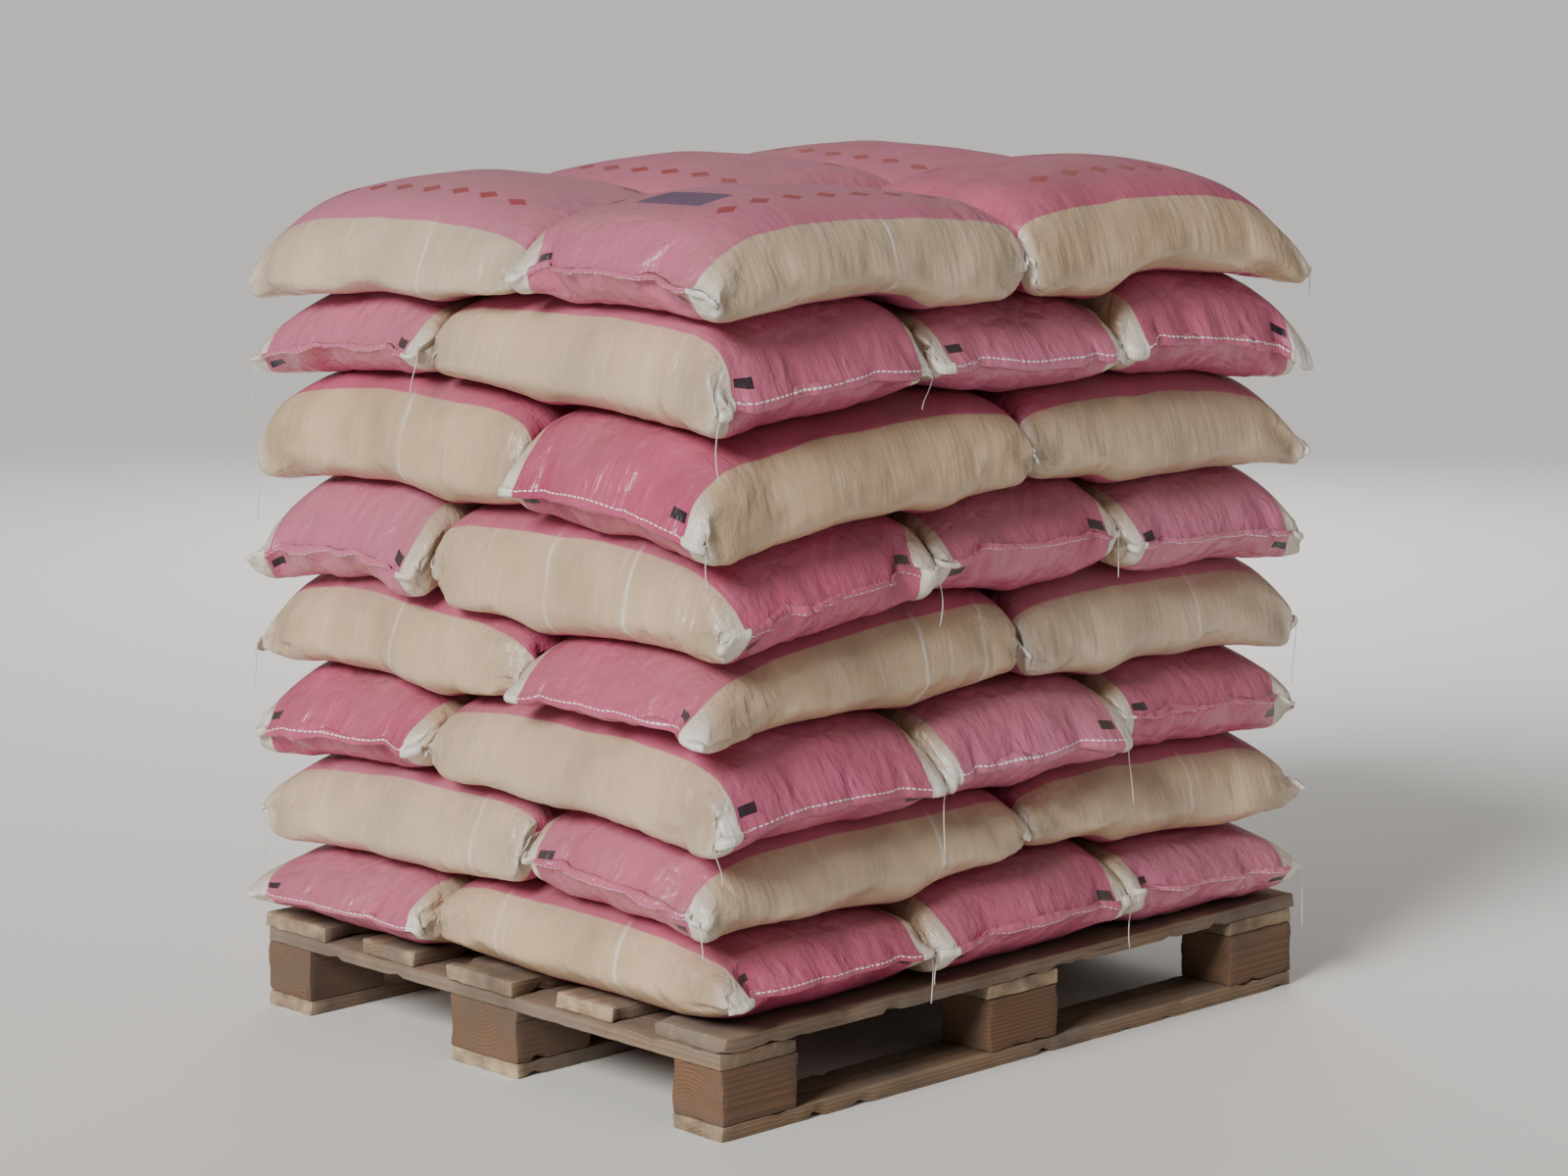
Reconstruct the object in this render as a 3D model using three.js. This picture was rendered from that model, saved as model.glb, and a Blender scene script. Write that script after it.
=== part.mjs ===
// A loaded pallet: forty filled woven sacks, laid five to a layer in eight crossed layers on a wooden
// four-way block pallet. Millimetres, +Z up. The origin is on the floor under the middle of the pallet.
// +X runs along the 1200 mm side and -Y is the front, where layer 1 shows three sack ends.
import * as THREE from "three";

// The pallet: deck boards along X on three cross boards along Y, on nine blocks, on three bottom boards.
const PALLET_LENGTH = 1200;
const PALLET_DEPTH = 1000;
const BOARD_THICKNESS = 22;
const BLOCK_HEIGHT = 78;
const WIDE_BOARD = 145;
const NARROW_BOARD = 120;
const EDGE_BLOCK_DEPTH = 100;
const DECK_BOARD_WIDTHS = [WIDE_BOARD, NARROW_BOARD, WIDE_BOARD, NARROW_BOARD, WIDE_BOARD];
const DECK_END_SCATTER = 9; // how far a deck board's end may stand off the pallet's end
const DECK_SKEW = 0.25; // degrees

// The sacks: each fills a cell of 600 by 400, so three widths or two lengths make the pallet's long side.
const SACK_CELL_LENGTH = 600;
const SACK_CELL_WIDTH = 400;
const SACK_LENGTH = 596; // from sewn seam to sewn seam
const SACK_WIDTH = 394;
const LAYER_PITCH = 140;
const CONTACT_GAP = 0.3;
const SACK_THICKNESS = LAYER_PITCH - CONTACT_GAP;
const SEAM_THICKNESS = 12;
const LAYERS = 8;
const LAYER_DRIFT = 4; // how far a whole layer may lie off the one below, along X and Y
const OUTWARD_DRIFT = 10; // how far one sack may stand out of its face of the stack
const SACK_TURN = 0.4; // degrees

// The corners of the facets where sacks press on each other lie on one grid over the whole stack. All cells
// start and end on it, so that the layers meet facet on facet.
const FACET = 100;

// How the tops of the sacks swell and sag, as heights over the flat layer that they would fill.
const CROWN = 10; // how far the middle of a sack stands above its layer
const CROWN_SCATTER = 6;
const OPEN_FALL = 40; // how far the top falls from the middle to an edge on the outside of the stack
const SHUT_FALL = 28; // and to an edge with a neighbour
const FALL_POWER = 2;
const FALL_SCATTER = 0.25;
const TILT = [12, 8]; // how far the top may rise or fall towards the end and towards the side
const LOWEST_FALLS = [0, 0.75, 0.9]; // the share of all this on the deck and on the two layers above it
const TOP_FALL = 1.25; // the top layer falls further, because nothing presses on it
const CORNER_DROOP = 22; // how far each layer hangs down at the corners of the stack
const BLEND = 18;
const OVERHANG = 1.15; // how far past its own edge a sack's top still counts

const film = { roughness: 0.45, metalness: 0 };
const wood = { roughness: 0.85, metalness: 0 };
const sackMaterial = new THREE.MeshStandardMaterial({ color: 0xd8799c, ...film });
const deckMaterial = new THREE.MeshStandardMaterial({ color: 0x9a8674, ...wood });
const blockMaterial = new THREE.MeshStandardMaterial({ color: 0x8a6f58, ...wood });

const radians = THREE.MathUtils.degToRad;
const seeded = THREE.MathUtils.seededRandom;

// A number from -spread to spread, the same at each run.
const scatter = (spread) => (2 * seeded() - 1) * spread;

// Looks up a value between the steps of a short profile.
function profile(at, steps) {
  const last = steps.length - 1;
  const place = Math.min(Math.abs(at), 1) * last;
  const low = Math.min(Math.floor(place), last - 1);
  return THREE.MathUtils.lerp(steps[low], steps[low + 1], place - low);
}

// From the middle of the sack to its seam: the distance along it, and the share of the full thickness. The
// pressed part of a face ends at the last step on the grid, and from there the cloth is loose.
const PRESSED_LENGTH = 2 * FACET;
const LOOSE_LENGTH = SACK_LENGTH / 2 - PRESSED_LENGTH;
const ALONG = [0, FACET, PRESSED_LENGTH, 250, 284, SACK_LENGTH / 2];
const SWELL = [1, 1, 1, 0.95, 0.76, SEAM_THICKNESS / SACK_THICKNESS];
// On a face, from the middle of the sack to its long side: the distance across, and the share of the swell.
const PRESSED_WIDTH = FACET;
const ACROSS = [0, PRESSED_WIDTH, 150, 187];
const ROUNDING = [1, 1, 0.95, 0.62];
const WAIST = 0.975; // the long sides pull in between the corners
const SEAM_BOW = 0.985; // the seams pull in between the corners
const SEAM_POWER = 3; // how late the round sides flatten out towards the seam
const ROUNDING_ERROR = 0.01;

// Moves a point of a box that reaches from -1 to 1 to its place on the filled sack, in the sack's own axes.
function sackPoint(point, sack) {
  const { x: along, y: across, z: up } = point;
  const length = profile(along, ALONG);
  const nearSeam = (Math.max(length - PRESSED_LENGTH, 0) / LOOSE_LENGTH) ** SEAM_POWER;
  const evenWidth = (Math.abs(across) * SACK_WIDTH) / 2;
  const width = THREE.MathUtils.lerp(up === 0 ? evenWidth : profile(across, ACROSS), evenWidth, nearSeam);
  const rounding = THREE.MathUtils.lerp(profile(across, ROUNDING), 1, nearSeam);
  const swell = (profile(along, SWELL) * rounding) / 2;
  point.set(Math.sign(along) * length, Math.sign(across) * width, up * swell);
  const pastEnd = length > PRESSED_LENGTH + ROUNDING_ERROR;
  const pastSide = width > PRESSED_WIDTH + ROUNDING_ERROR;
  if (!pastEnd && !pastSide) return;
  const bow = pastEnd ? THREE.MathUtils.lerp(SEAM_BOW, 1, Math.abs(across)) : 1;
  const waist = pastSide ? THREE.MathUtils.lerp(WAIST, 1, (2 * length) / SACK_LENGTH) : 1;
  const [x, y] = [point.x * bow, point.y * waist];
  point.setX(x - sack.skew * y + sack.shift[0]);
  point.setY(y + sack.skew * x + sack.shift[1]);
}

// Where a point of the stack lies on a sack: 1 is its end, and its side.
function shareOf(sack, x, y) {
  const [dx, dy] = [x - sack.x, y - sack.y];
  const [c, s] = [Math.cos(sack.turn), Math.sin(sack.turn)];
  return [(2 * (c * dx + s * dy)) / SACK_LENGTH, (2 * (c * dy - s * dx)) / SACK_WIDTH];
}

// The height of a sack's top over its flat layer, and how much that sack counts there.
function topOf(sack, x, y) {
  const shares = shareOf(sack, x, y);
  const [end, side] = shares.map((share) => THREE.MathUtils.clamp(share, -OVERHANG, OVERHANG));
  const endFall = (end * sack.openEnd > 0 ? OPEN_FALL : SHUT_FALL) * Math.abs(end) ** FALL_POWER;
  const sideFall = (side * sack.openSide > 0 ? OPEN_FALL : SHUT_FALL) * Math.abs(side) ** FALL_POWER;
  const tilt = sack.tilt[0] * end + sack.tilt[1] * side;
  const height = sack.crown - sack.fall * Math.hypot(endFall, sideFall) + tilt;
  const outside = Math.max(
    ((Math.abs(shares[0]) - 1) * SACK_LENGTH) / 2,
    ((Math.abs(shares[1]) - 1) * SACK_WIDTH) / 2,
  );
  return { height, weight: Math.exp(-outside / BLEND) };
}

// The wavy surface on which the next layer lies: the tops of all sacks of a layer, blended at their joints.
function smoothSurface(sacks, layer, x, y) {
  const tops = sacks.filter((sack) => sack.layer === layer).map((sack) => topOf(sack, x, y));
  const weight = tops.reduce((sum, top) => sum + top.weight, 0);
  const height = tops.reduce((sum, top) => sum + top.height * top.weight, 0) / weight;
  const reachX = Math.min(Math.abs((2 * x) / PALLET_LENGTH), 1);
  const reachY = Math.min(Math.abs((2 * y) / PALLET_DEPTH), 1);
  const droop = CORNER_DROOP * (reachX * reachY) ** 2;
  return DECK_TOP + layer * LAYER_PITCH + (LOWEST_FALLS[layer] ?? 1) * (height - droop);
}

// The same surface made of flat facets: each square of the grid is two triangles, cut from its lowest x and y
// to its highest.
function surface(sacks, layer, x, y) {
  if (layer === 0) return DECK_TOP + CONTACT_GAP / 2;
  const [column, row] = [Math.floor(x / FACET), Math.floor(y / FACET)];
  const [dx, dy] = [x / FACET - column, y / FACET - row];
  const corner = (i, j) => smoothSurface(sacks, layer, (column + i) * FACET, (row + j) * FACET);
  const between = dx > dy ? corner(1, 0) : corner(0, 1);
  const [long, short] = [Math.max(dx, dy), Math.min(dx, dy)];
  return (1 - long) * corner(0, 0) + (long - short) * between + short * corner(1, 1);
}

// Cuts each square of the two pressed faces the way that the surface is cut, whatever the sack's turn.
function alignFacets(geometry, sack) {
  const index = geometry.getIndex();
  const position = geometry.getAttribute("position");
  const quarters = Math.round(sack.turn / (Math.PI / 2));
  for (const group of geometry.groups.slice(4)) {
    for (let i = group.start; i < group.start + group.count; i += 6) {
      const [a, b, d, c] = [index.getX(i), index.getX(i + 1), index.getX(i + 2), index.getX(i + 4)];
      const rise = (position.getX(d) - position.getX(b)) * (position.getY(d) - position.getY(b));
      if (rise > 0 === (quarters % 2 === 0)) continue;
      [a, b, c, a, c, d].forEach((corner, k) => index.setX(i + k, corner));
    }
  }
}

// One filled sack: round on its long sides, thin along its two sewn ends, and fitted between the sacks that
// it lies on and the ones on top of it.
function sackGeometry(sack, sacks) {
  const geometry = new THREE.BoxGeometry(2, 2, 2, 2 * (ALONG.length - 1), 2 * (ACROSS.length - 1), 2);
  const position = geometry.getAttribute("position");
  const point = new THREE.Vector3();
  const [c, s] = [Math.cos(sack.turn), Math.sin(sack.turn)];
  for (let i = 0; i < position.count; i++) {
    sackPoint(point.fromBufferAttribute(position, i), sack);
    const x = sack.x + c * point.x - s * point.y;
    const y = sack.y + s * point.x + c * point.y;
    const floor = surface(sacks, sack.layer - 1, x, y) + CONTACT_GAP / 2;
    const roof = surface(sacks, sack.layer, x, y) - CONTACT_GAP / 2;
    position.setXYZ(i, point.x, point.y, THREE.MathUtils.lerp(floor, roof, point.z + 0.5) - sack.z);
  }
  alignFacets(geometry, sack);
  geometry.computeVertexNormals();
  return geometry;
}

// A board or a block as a box, with its lowest face at a height.
function timber(name, size, [x, y, bottom], material) {
  const mesh = new THREE.Mesh(new THREE.BoxGeometry(...size), material);
  mesh.name = name;
  mesh.position.set(x, y, bottom + size[2] / 2);
  return mesh;
}

const ROWS = [
  { place: "front", y: (EDGE_BLOCK_DEPTH - PALLET_DEPTH) / 2, depth: EDGE_BLOCK_DEPTH },
  { place: "middle", y: 0, depth: WIDE_BOARD },
  { place: "back", y: (PALLET_DEPTH - EDGE_BLOCK_DEPTH) / 2, depth: EDGE_BLOCK_DEPTH },
];
const COLUMNS = [
  { place: "left", x: (WIDE_BOARD - PALLET_LENGTH) / 2 },
  { place: "middle", x: 0 },
  { place: "right", x: (PALLET_LENGTH - WIDE_BOARD) / 2 },
];
const CROSS_BOTTOM = BOARD_THICKNESS + BLOCK_HEIGHT;
const DECK_BOTTOM = CROSS_BOTTOM + BOARD_THICKNESS;
const DECK_TOP = DECK_BOTTOM + BOARD_THICKNESS;

function bottomBoards() {
  return ROWS.map(({ place, y, depth }) =>
    timber(`bottom_board_${place}`, [PALLET_LENGTH, depth, BOARD_THICKNESS], [0, y, 0], deckMaterial),
  );
}

function blocks() {
  return ROWS.flatMap((row) =>
    COLUMNS.map((column) =>
      timber(
        `block_${row.place}_${column.place}`,
        [WIDE_BOARD, row.depth, BLOCK_HEIGHT],
        [column.x, row.y, BOARD_THICKNESS],
        blockMaterial,
      ),
    ),
  );
}

function crossBoards() {
  const size = [WIDE_BOARD, PALLET_DEPTH, BOARD_THICKNESS];
  return COLUMNS.map(({ place, x }) =>
    timber(`cross_board_${place}`, size, [x, 0, CROSS_BOTTOM], deckMaterial),
  );
}

// The deck boards stand a little off line, as nailed by hand.
function deckBoards() {
  const covered = DECK_BOARD_WIDTHS.reduce((sum, width) => sum + width, 0);
  const gap = (PALLET_DEPTH - covered) / (DECK_BOARD_WIDTHS.length - 1);
  let front = -PALLET_DEPTH / 2;
  return DECK_BOARD_WIDTHS.map((width, i) => {
    const place = [scatter(DECK_END_SCATTER), front + width / 2, DECK_BOTTOM];
    const size = [PALLET_LENGTH, width, BOARD_THICKNESS];
    const board = timber(`deck_board_${i + 1}`, size, place, deckMaterial);
    board.rotation.z = radians(scatter(DECK_SKEW));
    front += width + gap;
    return board;
  });
}

// One layer has a row of three sacks laid front to back, and behind it a row of two laid side to side.
// Each place has its name, its middle, its turn and the way that it faces out of the stack.
function layerPlaces() {
  const threeY = (SACK_CELL_LENGTH - PALLET_DEPTH) / 2;
  const twoY = (PALLET_DEPTH - SACK_CELL_WIDTH) / 2;
  const three = ["left", "middle", "right"].map((side, i) => ({
    row: "three",
    side,
    x: (i - 1) * SACK_CELL_WIDTH,
    y: threeY,
    turn: Math.PI / 2,
    out: [i - 1, -1],
  }));
  const two = ["left", "right"].map((side, i) => ({
    row: "two",
    side,
    x: (i - 0.5) * SACK_CELL_LENGTH,
    y: twoY,
    turn: 0,
    out: [i === 0 ? -1 : 1, 1],
  }));
  return [...three, ...two];
}

const OPPOSITE = { left: "right", middle: "middle", right: "left" };

// The place of every sack, and how its top swells. Every second layer is the first one turned half way round,
// so that each joint is covered.
function sackPlaces() {
  const places = [];
  for (let layer = 1; layer <= LAYERS; layer++) {
    const half = layer % 2 === 0;
    const flip = half ? -1 : 1;
    const drift = [scatter(LAYER_DRIFT), scatter(LAYER_DRIFT)];
    for (const cell of layerPlaces()) {
      const front = (cell.row === "three") !== half;
      const side = half ? OPPOSITE[cell.side] : cell.side;
      const moved = cell.out.map((out, i) => flip * out * seeded() * OUTWARD_DRIFT + drift[i]);
      const [x, y] = [flip * cell.x, flip * cell.y];
      const turn = cell.turn + (half ? Math.PI : 0);
      const [c, s] = [Math.round(Math.cos(turn)), Math.round(Math.sin(turn))];
      places.push({
        name: `sack_${layer}_${front ? "front" : "back"}_${side}`,
        layer,
        x,
        y,
        z: DECK_TOP + (layer - 0.5) * LAYER_PITCH,
        turn,
        skew: radians(scatter(SACK_TURN)),
        shift: [c * moved[0] + s * moved[1], c * moved[1] - s * moved[0]],
        openEnd: Math.sign(c * x + s * y),
        openSide: side === "middle" ? 0 : Math.sign(c * y - s * x),
        crown: CROWN + scatter(CROWN_SCATTER),
        fall: (1 + scatter(FALL_SCATTER)) * (layer === LAYERS ? TOP_FALL : 1),
        tilt: TILT.map(scatter),
      });
    }
  }
  return places;
}

function sacks() {
  const places = sackPlaces();
  return places.map((sack) => {
    const mesh = new THREE.Mesh(sackGeometry(sack, places), sackMaterial);
    mesh.name = sack.name;
    mesh.position.set(sack.x, sack.y, sack.z);
    mesh.rotation.z = sack.turn;
    return mesh;
  });
}

seeded(25); // starts the row of random numbers at a fixed place

const pallet = new THREE.Group();
pallet.add(...bottomBoards(), ...blocks(), ...crossBoards(), ...deckBoards());

const load = new THREE.Group();
load.add(...sacks());

const palletOfSacks = new THREE.Group();
palletOfSacks.add(pallet, load);

export default palletOfSacks;
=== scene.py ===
# %% [markdown]
# # A pallet of woven sacks
#
# The load is forty filled sacks of woven plastic tape, laid five to a layer on a wooden block pallet.
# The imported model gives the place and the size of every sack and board. This script dresses them: the sacks
# become sewn bags that are blown up by cloth simulation, and the boards become rough sawn wood.
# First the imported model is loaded, and its box is kept, because the finished looks have to stay close to it.

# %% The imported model
import math
import random
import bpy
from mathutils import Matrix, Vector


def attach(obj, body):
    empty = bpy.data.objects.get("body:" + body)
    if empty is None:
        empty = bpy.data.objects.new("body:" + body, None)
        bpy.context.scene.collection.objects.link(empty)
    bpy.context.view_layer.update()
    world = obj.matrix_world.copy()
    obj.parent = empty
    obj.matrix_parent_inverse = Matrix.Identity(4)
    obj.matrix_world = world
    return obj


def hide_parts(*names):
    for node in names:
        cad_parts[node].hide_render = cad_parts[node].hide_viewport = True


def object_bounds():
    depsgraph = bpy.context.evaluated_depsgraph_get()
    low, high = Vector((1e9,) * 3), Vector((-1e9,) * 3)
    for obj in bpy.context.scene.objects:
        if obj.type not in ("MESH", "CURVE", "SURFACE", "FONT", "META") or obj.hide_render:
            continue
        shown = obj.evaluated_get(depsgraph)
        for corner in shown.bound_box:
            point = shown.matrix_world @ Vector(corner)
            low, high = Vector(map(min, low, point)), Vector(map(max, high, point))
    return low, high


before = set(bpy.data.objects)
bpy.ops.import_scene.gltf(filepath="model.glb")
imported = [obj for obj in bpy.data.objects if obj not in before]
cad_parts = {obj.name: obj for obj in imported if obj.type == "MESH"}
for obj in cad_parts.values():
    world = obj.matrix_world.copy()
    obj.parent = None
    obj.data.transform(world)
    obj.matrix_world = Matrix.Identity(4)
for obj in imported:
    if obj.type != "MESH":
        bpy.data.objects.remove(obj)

import zlib

import bmesh
import bpy
import numpy as np
from mathutils import Vector, noise
from mathutils.bvhtree import BVHTree

cad_low, cad_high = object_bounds()
bpy.ops.object.select_all(action="DESELECT")
print("packed model", [round(v, 3) for v in cad_high - cad_low], "metres")

# %% [markdown]
# ## The camera
#
# The load is seen corner on from head height and a little above it, with its short side on the left and its
# long side on the right. The camera stands as far off as the photograph's did, so that the sides run together
# as they do there, and a longer lens fills the picture with the load alone.

# %% Camera
VIEW_AZIMUTH = math.radians(-44)
VIEW_ELEVATION = math.radians(10)
VIEW_DISTANCE = 6.8
VIEW_LENS = 104
AIM_DROP = 0.01  # how far below its middle the load is aimed at

load_centre = Vector((0, 0, (cad_low.z + cad_high.z) / 2 - AIM_DROP))
towards_camera = Vector((
    math.sin(VIEW_AZIMUTH) * math.cos(VIEW_ELEVATION),
    -math.cos(VIEW_AZIMUTH) * math.cos(VIEW_ELEVATION),
    math.sin(VIEW_ELEVATION),
))
bpy.ops.object.camera_add(location=load_centre + towards_camera * VIEW_DISTANCE)
camera = bpy.context.object
camera.name = "camera"
camera.rotation_euler = (-towards_camera).to_track_quat("-Z", "Y").to_euler()
camera.data.lens = VIEW_LENS
bpy.context.scene.camera = camera
print("camera", VIEW_DISTANCE, "metres off, with a lens of", VIEW_LENS, "mm")

# %% [markdown]
# ## Colours and nodes
#
# Every colour below is written as an sRGB hex value, as a colour picker shows it, and one function turns it
# to the linear numbers that a shader wants. A second small function adds a node with its settings and links,
# so that each material reads from top to bottom. A third paints coats of colour over each other, and a fourth
# draws the streaky noise that both the film and the wood are full of.
# Inputs are given by number where that is shorter. Map Range takes 0, the value, from the range of 1 to 2 and
# gives the range of 3 to 4. Mix lays colour 7 over colour 6 by the share 0, and Mapping scales place 0 by 3.

# %% Helpers for materials


def colour(code):
    """The linear RGBA of an sRGB hex value."""
    parts = [int(code[i : i + 2], 16) / 255 for i in (0, 2, 4)]
    return (*[p / 12.92 if p <= 0.04045 else ((p + 0.055) / 1.055) ** 2.4 for p in parts], 1)


def new_material(name):
    """An empty node material, with its principled shader on the output."""
    material = bpy.data.materials.new(name)
    material.use_nodes = True
    material.node_tree.nodes.clear()
    output = material.node_tree.nodes.new("ShaderNodeOutputMaterial")
    shader = material.node_tree.nodes.new("ShaderNodeBsdfPrincipled")
    material.node_tree.links.new(shader.outputs[0], output.inputs[0])
    return material, shader


def add(material, kind, inputs=None, **settings):
    """Adds a node. inputs maps a socket's name or number to a value, or to another node's output."""
    node = material.node_tree.nodes.new("ShaderNode" + kind)
    for name, value in settings.items():
        setattr(node, name, value)
    for key, value in (inputs or {}).items():
        if isinstance(value, bpy.types.NodeSocket):
            material.node_tree.links.new(value, node.inputs[key])
        else:
            node.inputs[key].default_value = value
    return node


def link(material, output, socket):
    """Joins an output to an input that already exists, such as one of the shader's."""
    material.node_tree.links.new(output, socket)


def paint(material, ground, *coats):
    """Lays coats over a ground colour, one after the other. Each is the share it covers, and its colour."""
    for share, coat in coats:
        ground = add(material, "Mix", {0: share, 6: ground, 7: coat}, data_type="RGBA").outputs[2]
    return ground


def streaky_noise(material, place, length, width, detail):
    """Noise whose spots have a length along the first axis and a width across it, in metres."""
    drawn = add(material, "Mapping", {0: place, 3: (1 / length, 1 / width, 1 / width)}).outputs[0]
    return add(material, "TexNoise", {"Vector": drawn, "Scale": 1.0, "Detail": detail}).outputs[0]


# %% [markdown]
# ## The empty bag
#
# The real bag is a tube of woven tape, cut to length and sewn shut at both ends. It is drawn flat first: a
# grid at the bag's flat size, given two layers, and pinched shut where the two seams run. Its corners are
# rounded a little, because a sharp corner of thin film only crumples.
# Each point also keeps where it lies on the flat bag: how far along it, and how far round the tube. The print
# and the creases follow those two numbers, so they stay on the cloth when the bag swells.

# %% Measures of the flat bag
BAG_LENGTH = 0.690
BAG_WIDTH = 0.474
BAG_DEPTH = 0.012
SEAM_DEPTH = 0.0016
PINCH = 0.03  # how far from the seam the two layers run together
CORNER_ROUND = 0.035
GRID = (42, 28)
print("flat bag", BAG_LENGTH, "by", BAG_WIDTH, "metres")

# %% Corners and ruffles
RUFFLE = 0.003  # how far the cloth lies off its flat place
RUFFLES = 14  # to the metre
RUFFLE_SHIFT = (7.3, 3.1)  # how far apart in the noise one bag lies from the next
RUFFLE_SEED = 11  # without a seed of its own, the vector noise takes one from the clock


def round_corner(x, y):
    """Draws a point near a corner of the flat bag in to a round corner."""
    inner_x = BAG_LENGTH / 2 - CORNER_ROUND
    inner_y = BAG_WIDTH / 2 - CORNER_ROUND
    past = Vector((abs(x) - inner_x, abs(y) - inner_y))
    if past.x <= 0 or past.y <= 0:
        return x, y
    past *= max(past) / past.length
    return math.copysign(inner_x + past.x, x), math.copysign(inner_y + past.y, y)


def pinch_seams(mesh, seed):
    """Keeps each point's flat place, draws the layers together at the seams, and ruffles them a little."""
    along = mesh.attributes.new("along", "FLOAT", "POINT")
    girth = mesh.attributes.new("girth", "FLOAT", "POINT")
    noise.seed_set(RUFFLE_SEED)
    shift = Vector((seed * RUFFLE_SHIFT[0], seed * RUFFLE_SHIFT[1], 0))
    for vertex in mesh.vertices:
        x, y, z = vertex.co
        on_top = z > 0
        along.data[vertex.index].value = x
        girth.data[vertex.index].value = abs(y) if on_top else BAG_WIDTH - abs(y)
        pinch = min(1, (BAG_LENGTH / 2 - abs(x)) / PINCH)
        depth = (SEAM_DEPTH + (BAG_DEPTH - SEAM_DEPTH) * pinch) / 2
        x, y = round_corner(x, y)
        layer_place = Vector((x, y, 0.1 if on_top else -0.1))
        ruffle = noise.noise_vector(layer_place * RUFFLES + shift) * RUFFLE
        vertex.co = (x + ruffle.x, y + ruffle.y, depth if on_top else -depth)


# %% A flat bag
def active():
    return bpy.context.view_layer.objects.active


def write_flat_map(mesh):
    """The UV map sack: along the bag, and round the tube from the middle of its upper face, in metres."""
    uv = mesh.uv_layers.active or mesh.uv_layers.new(name="sack")
    uv.name = "sack"
    along = mesh.attributes["along"].data
    girth = mesh.attributes["girth"].data
    for face in mesh.polygons:
        side = 1 if face.center.y > 0 else -1
        ends = {round(abs(along[v].value), 4) for v in face.vertices}
        on_seam = ends == {round(BAG_LENGTH / 2, 4)}
        for loop in face.loop_indices:
            vertex = mesh.loops[loop].vertex_index
            v = girth[vertex].value
            if on_seam:
                v = min(v, BAG_WIDTH - v)
            uv.data[loop].uv = (along[vertex].value, side * v)


def flat_bag(name, seed):
    """The flat bag as a closed mesh, with the flat places kept in the attributes along and girth."""
    bpy.ops.object.select_all(action="DESELECT")
    bpy.ops.mesh.primitive_grid_add(x_subdivisions=GRID[0], y_subdivisions=GRID[1], size=1)
    bag = active()
    bag.name = name
    bag.scale = (BAG_LENGTH, BAG_WIDTH, 1)
    bpy.ops.object.transform_apply(location=False, rotation=False, scale=True)
    layers = bag.modifiers.new("Layers", "SOLIDIFY")
    layers.thickness = BAG_DEPTH
    layers.offset = 0
    bpy.ops.object.modifier_apply(modifier="Layers")
    pinch_seams(bag.data, seed)
    write_flat_map(bag.data)
    return bag


# %% [markdown]
# ## Filling the bag
#
# A filled sack in a stack has the shape that the cloth allows: the faces are pressed flat, the long sides
# bulge, the sides pull in, and the spare cloth at the corners crumples into ears. That shape can't be drawn
# well by hand, so it is simulated. The flat bag lies between a floor and a lid, one layer apart, and is blown
# up by pressure. Walls close in where the neighbours lie, and stay further off on the open sides.
# A few bags are simulated, and every sack in the stack is a copy of one of them.

# %% Walls
LAYER = 0.140
FILLED_LENGTH = 0.596
FILLED_WIDTH = 0.394
CLEARANCE = 0.004  # how far the cloth solver keeps the cloth off a wall
PRESS = 0.0005  # how far the floor and the lid press into the layer
WALL = 0.1
WALL_SPAN = 1.2
WALL_START = 0.01  # how far off the flat bag the walls start
FRAMES = 44
CLOSED_AT = FRAMES // 2


def pressing_wall(axis, side, reach, start=None):
    """A thick wall that the bag can't pass, with its inner face at a distance from the middle."""
    size = [WALL_SPAN] * 3
    size[axis] = WALL
    bpy.ops.object.select_all(action="DESELECT")
    bpy.ops.mesh.primitive_cube_add(size=1)
    wall = active()
    wall.scale = size
    bpy.ops.object.transform_apply(location=False, rotation=False, scale=True)
    wall.location[axis] = side * (reach + CLEARANCE + WALL / 2)
    bpy.ops.object.modifier_add(type="COLLISION")
    wall.collision.thickness_outer = CLEARANCE / 2
    wall.collision.cloth_friction = 20
    if start is not None:
        wall.keyframe_insert("location", frame=CLOSED_AT)
        wall.location[axis] = side * (start + WALL / 2)
        wall.keyframe_insert("location", frame=1)
    return wall


# %% Cloth simulation of one sack
def take(piece):
    """Selects one object and makes it active, so that operators act on it alone."""
    bpy.ops.object.select_all(action="DESELECT")
    piece.select_set(True)
    bpy.context.view_layer.objects.active = piece


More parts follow.
